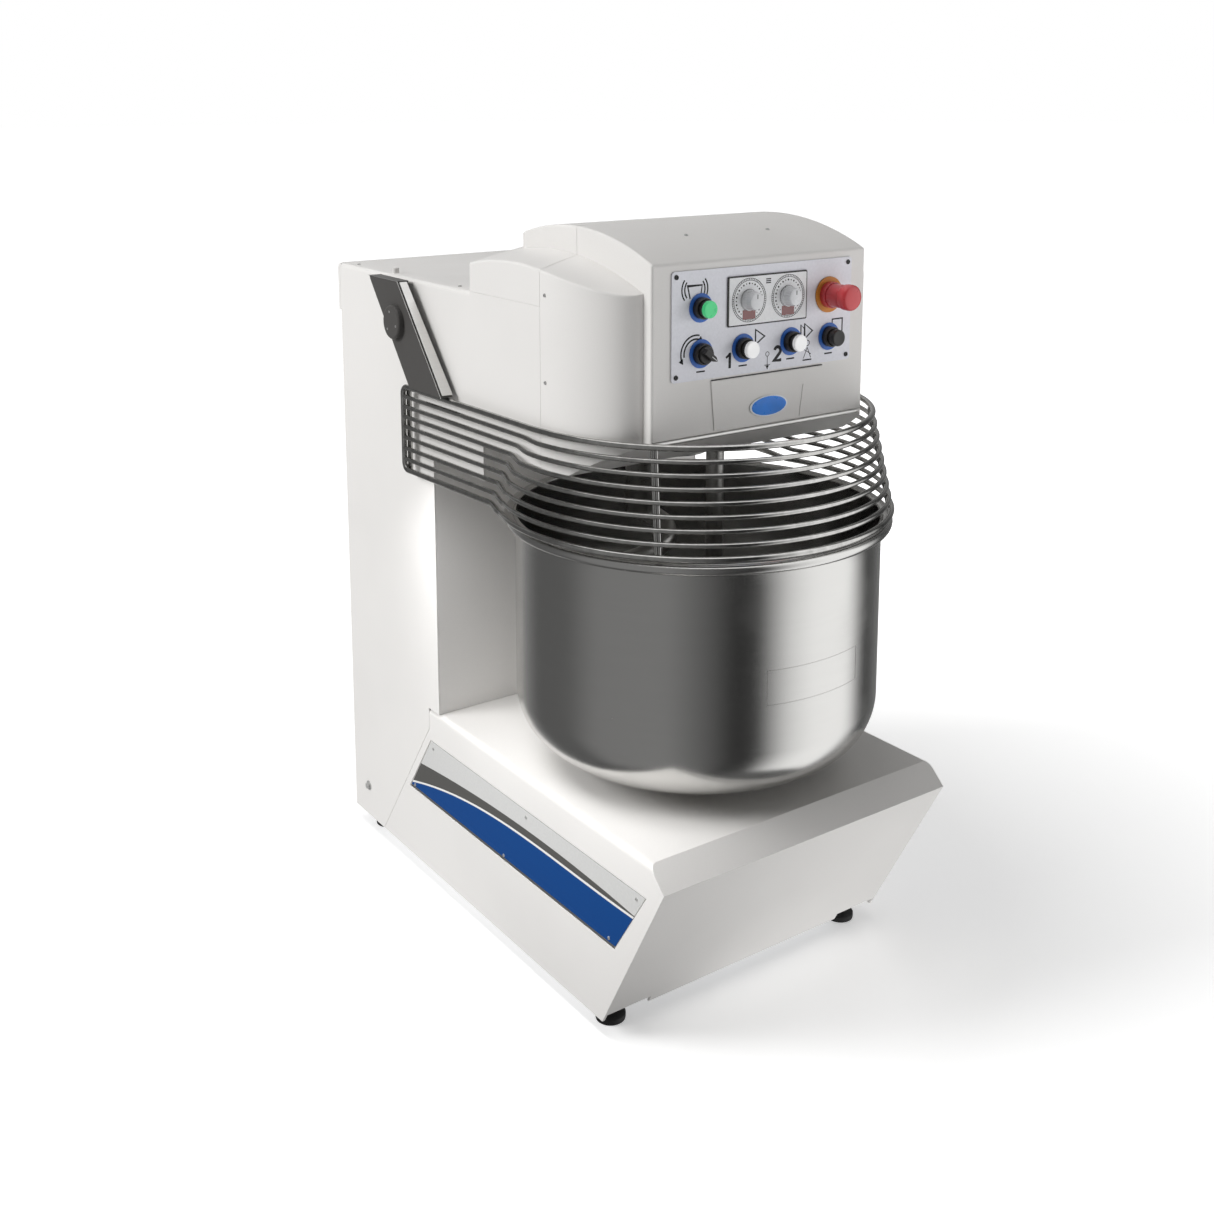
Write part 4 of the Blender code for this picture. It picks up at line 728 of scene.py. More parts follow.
def head():
    below, above = 0.80, 1.40  # heights clear of the head
    outer, inner = head_solids(HEAD_BOTTOM, below)
    outer = combine(outer, below_chamfer(0.0), "DIFFERENCE")
    inner = combine(inner, below_chamfer(SHEET * 1.2), "DIFFERENCE")
    front = combine(outer, inner, "DIFFERENCE")
    front = combine(front, prism(seam_region(False, -SEAM), 2, below, above), "DIFFERENCE")
    bar_hole = placed(turned([(0, 0.85), (0.017, 0.85), (0.017, 0.98), (0, 0.98)], 48), (0, BAR_Y, 0))
    front = combine(front, bar_hole, "DIFFERENCE")
    piece("head_front_shell", front, "white_paint", "machine", "head_front_cover", 28.0)

    outer, inner = head_solids(COLUMN_TOP + 0.0003, 1.1)
    rear = combine(outer, inner, "DIFFERENCE")
    rear = combine(rear, prism(seam_region(True, -SEAM), 2, 1.0, above), "DIFFERENCE")
    piece("head_rear_shell", rear, "white_paint", "machine", "head_rear_cover", 28.0)

    refined("head_bottom_plate", 0.0006, 2)
    refined("head_frame", 0.003, 2)
    low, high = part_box("head_edge_trim")
    strip = [(0, -0.216), (0.0024, -0.216), (0.003, -0.2152), (0.003, 0.2054), (0.0024, 0.2062), (0, 0.2062)]
    place = (0, (low.y + high.y) / 2, (low.z + high.z) / 2)
    lathe("head_edge_strip", strip, 24, place, "flange_steel", "machine", "head_edge_trim", (1, 0, 0))

    heads = []
    for way in (-1, 1):
        x, facing = way * CASE_HALF, (way, 0, 0)
        heads += [cap_screw((x, -0.211, z), facing, 0.0032, 0.0016) for z in (1.182, 1.044)]
    y = -0.29
    slope = math.asin((y - NOSE_TOP[0]) / NOSE_TOP[2])
    up = (0, math.sin(slope), math.cos(slope))
    heads += [cap_screw((x, y, arc_height(y, NOSE_TOP)), up, 0.0035, 0.0018) for x in (-0.085, 0.085)]
    piece("head_screws", joined(*heads), "screw_steel", "machine")


def front_plate():
    """Pressed plate under the control panel: a raised trapezoid with a sunk field, and its badge."""
    low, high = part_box("front_insert")
    back, face = high.y, low.y
    outline = [(-0.098, 0.9725), (0.119, 0.9725), (0.129, 1.0515), (-0.106, 1.0515)]
    plate = softened(prism(outline, 1, face, back), 0.001, 3, 40.0)
    sunk = [(-0.058, 0.95), (0.0765, 0.95), (0.087, 1.0255), (-0.051, 1.0255)]
    plate = combine(plate, prism(sunk, 1, face - 0.001, face + 0.0008), "DIFFERENCE")
    piece("front_insert_plate", plate, "white_paint", "machine", "front_insert")
    # Painted shadow: a black strip where the gap under the control panel lies in shade.
    slot = prism([(-0.106, 1.052), (0.129, 1.052), (0.127, 1.0535), (-0.104, 1.0535)], 1, face, back)
    piece("front_insert_gap_shadow", slot, "bezel_black", "machine")

    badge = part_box("badge_plate")
    middle = (badge[0] + badge[1]) / 2
    half = (badge[1] - badge[0]) / 2
    for name, share, rise, finish, node in (
        ("badge_rim", 1.0, 0.55, "badge_rim", "badge_plate"),
        ("badge_dome", 0.92, 1.0, "badge_blue", ()),
    ):
        steps = 72
        depth = (badge[1].y - badge[0].y) * rise
        made = bmesh.new()
        rings = []
        for inset, level in ((0.0, 0.0), (0.0, 0.5), (0.0015, 0.85), (0.004, 0.97), (0.01, 1.0)):
            ring = []
            for k in range(steps):
                turn = 2 * math.pi * k / steps
                x = middle.x + (half.x * share - inset) * math.cos(turn)
                z = middle.z + (half.z * (share if rise < 1 else share * 0.975) - inset) * math.sin(turn)
                ring.append(made.verts.new((x, badge[1].y - depth * level, z)))
            rings.append(ring)
        skin(made, rings)
        made.faces.new(rings[0][::-1])
        made.faces.new(rings[-1])
        piece(name, made, finish, "machine", node)


# ---------------------------------------------------------------- bowl and tools

BOWL_RADIUS = 0.31
BOWL_WALL = 0.003
BOWL_CORNER = 0.1
RIM_RING = 0.32
RIM_ROLL = 0.0085


def plate_outline():
    """The outline of a blank plate on the bowl's wall, with its angles in degrees."""
    edge, proud, side_width = 0.0006, 0.00025, 0.22
    left, right, low, high = -108.0, -73.0, 0.565, 0.621
    middle, half_tall = (low + high) / 2, (high - low) / 2 + edge
    strips = [(z, edge, left, right) for z in (low, high)]
    strips += [(middle, half_tall, angle, angle + side_width) for angle in (left, right - side_width)]
    shapes = []
    for z, tall, first, last in strips:
        steps = max(2, int((last - first) * 3))
        made = bmesh.new()
        rows = []
        for reach in (BOWL_RADIUS - 0.0005, BOWL_RADIUS + proud):
            for height in (z - tall, z + tall):
                points = arc((0, BOWL_Y), reach, first, last, steps)
                rows.append([made.verts.new((x, y, height)) for x, y in points])
        ribbon(made, rows)
        shapes.append(made)
    return joined(*shapes)


def bowl():
    bottom, rim = BOWL_LOW.z, BOWL_HIGH.z - RIM_ROLL
    corner = (BOWL_RADIUS - BOWL_CORNER, bottom + BOWL_CORNER)
    inside = BOWL_RADIUS - BOWL_WALL
    outer = arc(corner, BOWL_CORNER, -90, 0, 18)
    inner = arc(corner, BOWL_CORNER - BOWL_WALL, 0, -90, 18)
    wall = [(BOWL_RADIUS, corner[1] + (rim - corner[1]) * k / 10) for k in range(1, 10)]
    bead = arc((RIM_RING, rim), RIM_ROLL, -150, 150, 20)
    lip = [(inside + 0.001, rim + RIM_ROLL * 0.72), (inside, rim + RIM_ROLL * 0.35)]
    inner_wall = [(inside, z) for _, z in reversed(wall)]
    neck = [(BOWL_RADIUS, rim - RIM_ROLL - 0.003), (BOWL_RADIUS + 0.0012, rim - RIM_ROLL * 0.8)]
    profile = [(0, bottom)] + outer + wall + neck + bead + lip
    profile += inner_wall + inner + [(0, bottom + BOWL_WALL)]
    middle = (0, BOWL_Y, 0)
    lathe("bowl_shell", profile, 180, middle, "bowl_steel", "bowl_assembly", "bowl", sharp=40.0)
    piece("bowl_label_outline", plate_outline(), "hook_steel", "bowl_assembly")
    shaft = [(0, 0.11), (0.0185, 0.11), (0.0195, 0.111), (0.0195, 0.338), (0.039, 0.338), (0.04, 0.339)]
    shaft += [(0.04, 0.3665), (0.118, 0.3705), (0.12, 0.3725), (0.12, 0.3857), (0.118, 0.3877), (0, 0.3877)]
    lathe("bowl_spindle", shaft, 72, middle, "satin_steel", "bowl_assembly", "bowl_shaft")


SPIRAL_TOP, SPIRAL_END = 0.742, 0.422
SPIRAL_REACH, SPIRAL_ROD = 0.112, 0.0175
SPIRAL_TURNS = 1.55


def spiral_path(steps):
    """Middle line of the bar: out of the shank, round and down, and drawn in at its tip."""
    turns_from, full_from, tip_from = 0.08, 0.26, 0.88  # shares of the way down
    start_angle, drawn_in = math.radians(-60), 0.45
    start_z = SPIRAL_TOP + 0.02
    points = []
    for k in range(steps + 1):
        t = k / steps
        turned_by = start_angle - 2 * math.pi * SPIRAL_TURNS * max(t - turns_from, 0) / (1 - turns_from)
        reach = SPIRAL_REACH * math.sin(math.pi / 2 * min(t / full_from, 1.0)) ** 1.3
        if t > tip_from:
            reach *= 1 - drawn_in * ((t - tip_from) / (1 - tip_from)) ** 2
        z = start_z + (SPIRAL_END - start_z) * t
        points.append((reach * math.cos(turned_by), SPIRAL_Y + reach * math.sin(turned_by), z))
    return points


def rounded_end(t):
    """Share of the bar's radius at a share of its length: full, then round at the tip."""
    tip_share, bluntness = 0.012, 0.02
    left = min((1 - t) / tip_share, 1.0)
    return math.sqrt(max(1 - (1 - left) ** 2, bluntness))


def hook():
    middle = (0, SPIRAL_Y, 0)
    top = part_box("spiral_hook")[1].z
    low, radius, bead = SPIRAL_TOP, 0.029, 0.0302
    bar = tube(spiral_path(280), SPIRAL_ROD, 28, taper=rounded_end)
    profile = [(0, low - 0.004), (radius * 0.62, low - 0.001), (radius * 0.86, low + 0.005)]
    profile += [(radius, low + 0.016), (radius, top - 0.034), (bead, top - 0.032), (bead, top - 0.018)]
    profile += [(radius, top - 0.016), (radius, top - 0.001), (radius - 0.001, top), (0, top)]
    shank = placed(turned(profile, 64), middle)
    piece("spiral_hook_bar", joined(bar, shank), "hook_steel", "spiral_assembly", "spiral_hook", 40.0)
    spindle = [(0, 0.874), (0.028, 0.874), (0.029, 0.875), (0.029, 0.884), (0.0195, 0.89)]
    spindle += [(0.0195, 1.155), (0.0185, 1.156), (0, 1.156)]
    lathe("spiral_spindle", spindle, 64, middle, "satin_steel", "spiral_assembly", "spiral_shaft")

    low, high = (corner.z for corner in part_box("breaker_bar"))
    rod = [(0, low), (0.011, low), (0.015, low + 0.004), (0.015, high - 0.001), (0.014, high), (0, high)]
    lathe("breaker_rod", rod, 56, (0, BAR_Y, 0), "hook_steel", "machine", "breaker_bar")

    refined("hook_bearing_cap", 0.0015, 3, "flange_steel")
    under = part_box("hook_bearing_cap")[0].z
    heads = []
    for x in (-0.043, 0.043):
        heads += [cap_screw((x, y, under), (0, 0, -1), 0.0045, 0.003) for y in (-0.15, -0.075)]
    piece("hook_cap_screws", joined(*heads), "screw_steel", "machine")


# ---------------------------------------------------------------- drive, inside the casing


def drive():
    for node in ("bowl_bearing_housing", "spiral_bearing_housing"):
        refined(node, 0.0015, 2)
    for node in ("bowl_pulley", "spiral_pulley", "bowl_motor_pulley", "spiral_motor_pulley"):
        refined(node, 0.0008, 2)
    for node in ("bowl_belt", "spiral_belt"):
        refined(node, 0.0006, 1)
    for node in ("spiral_motor", "bowl_motor"):
        refined(node, 0.003, 2)


# ---------------------------------------------------------------- controls


def to_front(shape, x, z, y=FACE - 0.0003):
    """Places a shape made along +Z so that it points at the operator."""
    return placed(shape, (x, y, z), (0, -1, 0))


def on_panel(name, profile, steps, node, finish, body, stands_for=()):
    """A turned piece on the control panel, in line with a CAD node."""
    place = centre(node)
    piece(name, to_front(turned(profile, steps), place.x, place.z), finish, body, stands_for)


def rectangle(across, along):
    return [(across[0], along[0]), (across[1], along[0]), (across[1], along[1]), (across[0], along[1])]


def rounded(outline, radius, steps=6):
    count = len(outline)
    points = []
    for i in range(count):
        before, corner, after = (Vector(outline[(i + k) % count]) for k in (-1, 0, 1))
        to_before, to_after = (before - corner).normalized(), (after - corner).normalized()
        half = to_before.angle(to_after) / 2
        middle = corner + (to_before + to_after).normalized() * radius / math.sin(half)
        start, end = corner + to_before * radius / math.tan(half), corner + to_after * radius / math.tan(half)
        first = math.atan2(*(start - middle).yx)
        sweep = math.remainder(math.atan2(*(end - middle).yx) - first, 2 * math.pi)
        points += [round_point(middle, radius, first + sweep * k / steps) for k in range(steps + 1)]
    return points


INK = 0.00018  # how far a printed mark stands off its panel


def stroke(points, width, closed=False, back=FACE):
    """A printed line through (x, z) points, as a thin ribbon."""
    line = [Vector(p) for p in points]
    count = len(line)
    sides = ([], [])
    for i in range(count):
        before = line[i - 1] if i or closed else line[i]
        after = line[(i + 1) % count] if i + 1 < count or closed else line[i]
        along = (after - before).normalized()
        across = Vector((-along.y, along.x))
        reach = width / 2
        if 0 < i < count - 1 or closed:
            first = (line[i] - before).normalized()
            reach /= max(abs(Vector((-first.y, first.x)).dot(across)), 0.35)
        sides[0].append(line[i] + across * reach)
        sides[1].append(line[i] - across * reach)
    made = bmesh.new()
    rows = []
    for y in (back, back - INK):
        for side in sides:
            rows.append([made.verts.new((p.x, y, p.y)) for p in side])
    ribbon(made, rows, closed)
    return made


def patch(outline, back=FACE, thickness=INK):
    """A printed area."""
    return prism(outline, 1, back - thickness, back)


def arrow_head(tip, direction, size):
    along = Vector(direction).normalized()
    across = Vector((-along.y, along.x))
    end = Vector(tip)
    base = end - along * size
    return patch([tuple(end), tuple(base + across * size * 0.55), tuple(base - across * size * 0.55)])


def panel_marks():
    """Generic signs printed round the controls, with plain bars where the real panel has words."""
    marks = []
    jog, selector = centre("jog_bezel"), centre("selector_bezel")
    first, second, stop = centre("speed_1_bezel"), centre("speed_2_bezel"), centre("stop_bezel")
    hair, thin, thick, bold = 0.0011, 0.0023, 0.0024, 0.0026

    def line(points, width, closed=False):
        marks.append(stroke(points, width, closed))

    # Bowl being jogged: a trough between two pairs of arcs.
    left, right, top = jog.x - 0.0255, jog.x + 0.0025, jog.z + 0.035
    line([(left + 0.005, top - 0.02), (left, top), (right, top), (right - 0.003, top - 0.02)], thin)
    middle = ((left + right) / 2, top - 0.006)
    for reach in (0.0195, 0.025):
        line(arc(middle, reach, 142, 218, 16), thick)
        line(arc(middle, reach, 38, -30, 16), thick)
    # Turning both ways: two arcs with arrow heads.
    middle = (selector.x - 0.01, selector.z + 0.001)
    line(arc(middle, 0.0285, 75, 208, 26), bold)
    line(arc(middle, 0.0225, 60, 190, 24), bold)
    for radius, angle, way in ((0.0285, 212, 1), (0.0225, 52, -1)):
        turn = math.radians(angle)
        tip = round_point(middle, radius, turn)
        marks.append(arrow_head(tip, (-way * math.sin(turn), way * math.cos(turn)), 0.0085))
    # Slow, fast and stop.
    x, z = first.x + 0.0255, first.z + 0.0145
    line([(x, z - 0.012), (x, z + 0.012), (x + 0.019, z)], thin, True)
    x, z = second.x + 0.022, second.z + 0.013
    line([(x, z - 0.0105), (x, z + 0.0115), (x + 0.008, z + 0.004)], thin)
    line([(x + 0.008, z - 0.0125), (x + 0.008, z + 0.0125), (x + 0.025, z)], thin, True)
    x, z = stop.x + 0.0075, stop.z + 0.002
    line([(x, z + 0.0255), (x + 0.0225, z + 0.0255), (x + 0.0225, z), (x + 0.012, z)], thin)
    line([(x, z + 0.0262), (x, z + 0.019)], thin)
    # Downward arrow and a small sign between the speeds.
    x = (first.x + second.x) / 2 + 0.001
    line([(x, first.z - 0.019), (x, first.z - 0.034)], 0.0012)
    marks.append(arrow_head((x, first.z - 0.04), (0, -1), 0.0065))
    line([(x - 0.006, first.z - 0.0325), (x + 0.006, first.z - 0.0325)], 0.001)
    line(arc((x, first.z - 0.015), 0.0036, 0, 345, 22), 0.0009, True)
    x, z = second.x + 0.0365, second.z - 0.019
    line(arc((x, z + 0.0125), 0.0045, 0, 345, 20), hair, True)
    line([(x - 0.008, z - 0.012), (x, z + 0.005), (x + 0.008, z - 0.012)], hair)
    line([(x - 0.008, z + 0.003), (x + 0.008, z - 0.006)], hair)
    line([(x - 0.0095, z - 0.015), (x + 0.0095, z - 0.015)], 0.0022)
    # Plain bars where the words are.
    for place in (selector, first, second, stop):
        bar = rectangle((place.x - 0.0085, place.x + 0.0085), (place.z - 0.0292, place.z - 0.0268))
        marks.append(patch(rounded(bar, 0.0006, 2)))
    # Figures 1 and 2.
    x, z = first.x - 0.0275, first.z - 0.0285
    line([(x + 0.001, z + 0.0235), (x + 0.001, z - 0.001)], 0.005)
    line([(x - 0.0065, z + 0.016), (x + 0.001, z + 0.0215)], 0.0038)
    x, z = second.x - 0.0275, second.z - 0.029
    top_of_two = arc((x, z + 0.0165), 0.0062, 165, -38, 16)
    line(top_of_two + [(x - 0.0068, z + 0.001), (x + 0.0082, z + 0.001)], 0.0054)
    piece("panel_signs", joined(*marks), "ink_black", "machine")


def timer_scale(place, front):
    """The rings, ticks and dots round one timer knob, as shapes."""
    ticks, dots, dot_ring = 60, 23, 0.0262
    dots_from, dots_sweep = -52, 284
    tick_starts, tick_end = (0.0314, 0.0322), 0.0344  # every fifth tick is longer
    marks = []

    def ring(radius, width, steps):
        marks.append(stroke(arc(place, radius, 0, 354, steps), width, True, front))

    ring(0.0312, 0.0008, 59)
    ring(0.0345, 0.0007, 59)
    for k in range(ticks):
        turn = 2 * math.pi * k / ticks
        ends = [round_point(place, radius, turn) for radius in (tick_starts[k % 5 > 0], tick_end)]
        marks.append(stroke(ends, 0.0009, False, front))
    for k in range(dots):
        spot = round_point(place, dot_ring, math.radians(dots_from + dots_sweep * k / (dots - 1)))
        marks.append(patch(arc(spot, 0.0015 if k % 2 else 0.001, 0, 330, 11), front))
    ring(0.0172, 0.0004, 40)
    return marks


def timer_knob(node, middle, base_y):
    """A fluted knob with a line that shows its setting."""
    height, flutes, flute_depth = 0.0195, 24, 0.025
    profile = [(0, 0), (0.0165, 0), (0.0165, 0.0022), (0.015, 0.0032), (0.0142, 0.015), (0.0132, 0.0182)]
    knob = turned(profile + [(0.011, height), (0, height)], 72)
    for vert in knob.verts:
        angle = math.atan2(vert.co.y, vert.co.x)
        if 0.003 < vert.co.z < 0.019 and vert.co.xy.length > 0.012:
            vert.co.xy *= 1 + flute_depth * math.cos(flutes * angle)
    piece(node + "_cap", to_front(knob, middle.x, middle.z, base_y), "knob_grey", BODY_OF[node], node)
    line = rectangle((middle.x - 0.0006, middle.x + 0.0006), (middle.z + 0.004, middle.z + 0.0108))
    piece(node + "_mark", patch(line, base_y - height, 0.0003), "ink_black", BODY_OF[node])


def timers():
    low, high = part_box("timer_bezel")
    front = low.y + 0.0005  # face of the dials

    def plate(inset, radius, near, far):
        corners = rectangle((low.x + inset, high.x - inset), (low.z + inset, high.z - inset))
        return prism(rounded(corners, radius), 1, near, far)

    frame_plate = softened(plate(0.0, 0.003, low.y + 0.0008, high.y), 0.0006, 2, 40.0)
    piece("timer_frame", frame_plate, "bezel_black", "machine", "timer_bezel")
    piece("timer_field", plate(0.0023, 0.002, front, low.y + 0.001), "dial_face", "machine")
    marks, windows = [], []
    for node in ("timer_knob_left", "timer_knob_right"):
        middle = centre(node)
        marks += timer_scale((middle.x, middle.z), front)
        window = rectangle((middle.x - 0.013, middle.x + 0.013), (middle.z - 0.03, middle.z - 0.015))
        windows.append(patch(rounded(window, 0.0006, 2), front, 0.0004))
        timer_knob(node, middle, low.y - 0.0003)
    x = (low.x + high.x) / 2 - 0.0005
    for drop in (0.0085, 0.0115, 0.0145):
        ends = [(x - 0.005, high.z - drop), (x + 0.005, high.z - drop)]
        marks.append(stroke(ends, 0.0017, False, front))
    piece("timer_scales", joined(*marks), "ink_black", "machine")
    piece("timer_windows", joined(*windows), "display_red", "machine")


def push_buttons():
    ring = [(0.014, 0), (0.0222, 0), (0.0227, 0.0004), (0.0225, 0.0012), (0.0165, 0.0016), (0.014, 0.0016)]
    collar = [(0.014, 0.0005), (0.0168, 0.0005), (0.0168, 0.0105), (0.016, 0.0118), (0.0146, 0.012)]
    collar += [(0.014, 0.0114)]
    for name in ("jog", "selector", "speed_1", "speed_2", "stop"):
        node = name + "_bezel"
        on_panel(node + "_ring", ring, 64, node, "ring_blue", "machine", node)
        on_panel(node + "_collar", collar, 56, node, "bezel_black", "machine")
    skirt = [(0, 0.0055), (0.0134, 0.0055), (0.0134, 0.0185), (0.0128, 0.0192), (0, 0.0192)]
    cap = [(0, 0.0188), (0.0128, 0.0188), (0.0136, 0.0194), (0.0136, 0.0232), (0.013, 0.0244)]
    cap += [(0.0118, 0.025), (0.0095, 0.0248), (0, 0.0244)]
    colours = {"jog": "button_green", "stop": "black_plastic"}
    for name in ("jog", "speed_1", "speed_2", "stop"):
        finish = colours.get(name, "button_white")
        node = name + "_button"
        on_panel(node + "_cap", cap, 56, node, finish, BODY_OF[node], node)
        on_panel(node + "_skirt", skirt, 48, node, "bezel_black", BODY_OF[node])


def selector():
    """A round knob with a grip across it and a line on the grip."""
    place = centre("selector_bezel")
    base = [(0, 0.0055), (0.0134, 0.0055), (0.0134, 0.015), (0.0126, 0.0165), (0, 0.0165)]
    tip, shoulder, tail, half, blunt = 0.0155, 0.0095, -0.0125, 0.0045, 0.0008
    outline = [(tail, -half), (shoulder, -half), (tip, -blunt), (tip, blunt), (shoulder, half), (tail, half)]
    set_to = math.radians(-38)
    grip = placed(softened(prism(outline, 2, 0.0155, 0.026), 0.0012, 3, 25.0), spin=set_to)
    line = placed(box((0.002, -0.0005, 0.0259), (tip - 0.002, 0.0005, 0.0263)), spin=set_to)
    knob = to_front(joined(turned(base, 56), grip), place.x, place.z)
    piece("selector_knob_grip", knob, "black_plastic", "selector", "selector_knob")
    piece("selector_knob_line", to_front(line, place.x, place.z), "knob_grey", "selector")


def emergency_stop():
    disc = [(0.0135, 0), (0.0288, 0), (0.0295, 0.0006), (0.0293, 0.0018), (0.0285, 0.0022), (0.0135, 0.0022)]
    neck = [(0.0199, 0.0018), (0.0215, 0.0018), (0.0215, 0.012), (0.0208, 0.0132), (0.0199, 0.0132)]
    mushroom = [(0, 0.01), (0.019, 0.01), (0.0194, 0.0105), (0.0192, 0.035), (0.0184, 0.037)]
    mushroom += [(0.0188, 0.0385), (0.0208, 0.0405), (0.0212, 0.043), (0.0212, 0.0505), (0.0206, 0.0535)]
    mushroom += [(0.019, 0.0555), (0.0165, 0.0567), (0.01, 0.0574), (0, 0.0577)]
    node = "estop_collar"
    on_panel("estop_legend", disc, 72, node, "estop_orange", "machine", node)
    on_panel("estop_neck", neck, 64, node, "estop_red", "machine")
    on_panel("estop_mushroom", mushroom, 72, node, "estop_red", "estop", "estop_button")


def controls():
    corners = rectangle((PANEL_LOW.x, PANEL_HIGH.x), (PANEL_LOW.z, PANEL_HIGH.z))
    plate = softened(prism(rounded(corners, 0.006, 8), 1, FACE, PANEL_HIGH.y), 0.0005, 2, 40.0)
    piece("control_panel_plate", plate, "panel_grey", "machine", "control_panel")
    screws = []
    for x in (-0.1755, 0.1795):
        screws += [cap_screw((x, FACE, z), (0, -1, 0), 0.004, 0.0019, 0.45) for z in (1.065, 1.2183)]
    piece("control_panel_screws", joined(*screws), "screw_dark", "machine")
    panel_marks()
    timers()
    push_buttons()
    selector()
    emergency_stop()


# ---------------------------------------------------------------- guard

WIRE_COUNT = 9
WIRE_TOP_Z, WIRE_PITCH = 0.968, 0.0201
WIRE, FRAME_WIRE = 0.004, 0.005
GUARD_REAR_X, GUARD_REAR_Y = 0.319, 0.222
GUARD_CORNER = 0.014
UPRIGHT_ANGLES = (0.822, 0.84)  # from the guard's middle line, in radians


def wire_shape(i):
    """(height, ring centre y, ring radius, side x, bend start y, bend end y, side lift) of one wire."""
    t = i / (WIRE_COUNT - 1)
    height = WIRE_TOP_Z - WIRE_PITCH * i
    middle, radius = -0.189 - 0.018 * t, 0.3109 + 0.0228 * t
    side_x = 0.3115 - 0.0045 * min(i / 5, 1)
    bend_start, bend_length = -0.185 + 0.14 * t**0.75, 0.052
    lift = 0.006 * min(i / 4, 1)
    return height, middle, radius, side_x, bend_start, bend_start - bend_length, lift


def half_wire(i):
    """The left half of one guard wire, from its rear end to the front centre."""
    height, middle, radius, side_x, bend_start, bend_end, lift = wire_shape(i)
    rear = Vector((-GUARD_REAR_X, GUARD_REAR_Y, height + lift))
    start = Vector((-side_x, bend_start, height + lift))
    points = [tuple(rear.lerp(start, k / 4)) for k in range(5)]
    first_angle = math.asin(min((middle - bend_end) / radius, 1))
    ring_x = -radius * math.cos(first_angle)
    bend_steps, ring_steps = 10, 40
    for k in range(1, bend_steps):
        t = k / bend_steps
        ease = t * t * (3 - 2 * t)
        x, y = -side_x + (ring_x + side_x) * ease, bend_start + (bend_end - bend_start) * t
        points.append((x, y, height + lift * (1 - ease)))
    for k in range(ring_steps + 1):
        angle = first_angle + (math.pi / 2 - first_angle) * k / ring_steps
        points.append((-radius * math.cos(angle), middle - radius * math.sin(angle), height))
    return points


def whole_wire(i):
    left = half_wire(i)
    return left + [(-x, y, z) for x, y, z in left[-2::-1]]


def rear_bend(side, top, bottom):
    """The rounded corners that join the top wire's rear end to the bottom wire's."""
    x = side * GUARD_REAR_X
    quarter = [math.pi / 2 * k / 8 for k in range(9)]
    bend = [(GUARD_REAR_Y + GUARD_CORNER * math.sin(a), GUARD_CORNER * (1 - math.cos(a))) for a in quarter]
    return [(x, y, top - rise) for y, rise in bend] + [(x, y, bottom + rise) for y, rise in reversed(bend)]


def uprights(side):
    """A pair of rods just inside the wires, and their welds, as two lists of shapes."""
    last = WIRE_COUNT - 1
    rods, welds = [], []
    rod_radius, rod_inset, weld_inset, past_wire = 0.003, 0.0055, 0.0035, 0.003
    bead = [(0, -0.0026), (0.0024, -0.0014), (0.003, 0), (0.0024, 0.0014), (0, 0.0026)]
    for angle in UPRIGHT_ANGLES:
        points = []
        for i in range(last, -1, -1):
            height, middle, ring, *_ = wire_shape(i)
            reach, weld_reach = ring - rod_inset, ring - weld_inset
            points.append((side * reach * math.sin(angle), middle - reach * math.cos(angle), height))
            if 0 < i < last:
                spot = (side * weld_reach * math.sin(angle), middle - weld_reach * math.cos(angle), height)
                welds.append(placed(turned(bead, 10), spot))
        for end, past in ((0, -past_wire), (-1, past_wire)):
            x, y, z = points[end]
            points[end] = (x, y, z + past)
        rods.append(tube(points, rod_radius, 12))
    return rods, welds


def guard():
    last = WIRE_COUNT - 1
    top, bottom = whole_wire(0), whole_wire(last)
    bends = [rear_bend(side, top[0][2], bottom[0][2]) for side in (1, -1)]
    loop = top[1:-1] + bends[0] + bottom[1:-1][::-1] + bends[1][::-1]
    shapes = [tube(loop, FRAME_WIRE, 14, closed=True)]
    rear_y = GUARD_REAR_Y + GUARD_CORNER
    for i in range(1, last):
        wire = whole_wire(i)
        wire = [(wire[0][0], rear_y, wire[0][2])] + wire + [(wire[-1][0], rear_y, wire[-1][2])]
        shapes.append(tube(wire, WIRE, 12))
    welds = []
    for side in (-1, 1):
        rods, beads = uprights(side)
        shapes += rods
        welds += beads
        # Flat bar behind the wires' rear ends.
        x, half_thick = side * (GUARD_REAR_X - 0.0058), 0.0022
        low = (x - half_thick, GUARD_REAR_Y - 0.004, wire_shape(last)[0] + 0.004)
        high = (x + half_thick, GUARD_REAR_Y + 0.0095, WIRE_TOP_Z + 0.002)
        shapes.append(softened(box(low, high), 0.0008, 2))
    piece("guard_wires", joined(*shapes), "bright_steel", "guard", "guard_cage", 40.0)
    piece("guard_welds", joined(*welds), "bright_steel", "guard")


ARM_OUTSIDE, ARM_DEPTH = 0.332, 0.024
PIVOT = (0.2323, 1.0865)


def arm_flange(outline, inner):
    """The front flange: bare steel, narrower towards the top."""
    a, b = Vector(outline[0]), Vector(outline[3])
    along = (b - a).normalized()
    normal = Vector((along.y, -along.x))
    thick, narrowing, under_face = 0.0022, 0.006, ARM_OUTSIDE - 0.0032
    strip = bmesh.new()
    corners = []
    for end, reach in ((a + along * 0.004, inner), (b - along * 0.003, inner + narrowing)):
        for x in (under_face, reach):
            for off in (0.0, -thick):
                p = end + normal * off
                corners.append(strip.verts.new((x, p.x, p.y)))
    for quad in ((0, 2, 6, 4), (1, 3, 7, 5), (0, 1, 3, 2), (4, 5, 7, 6), (0, 1, 5, 4), (2, 3, 7, 6)):
        strip.faces.new([corners[k] for k in quad])
    return softened(strip, 0.0005, 2, 40.0)


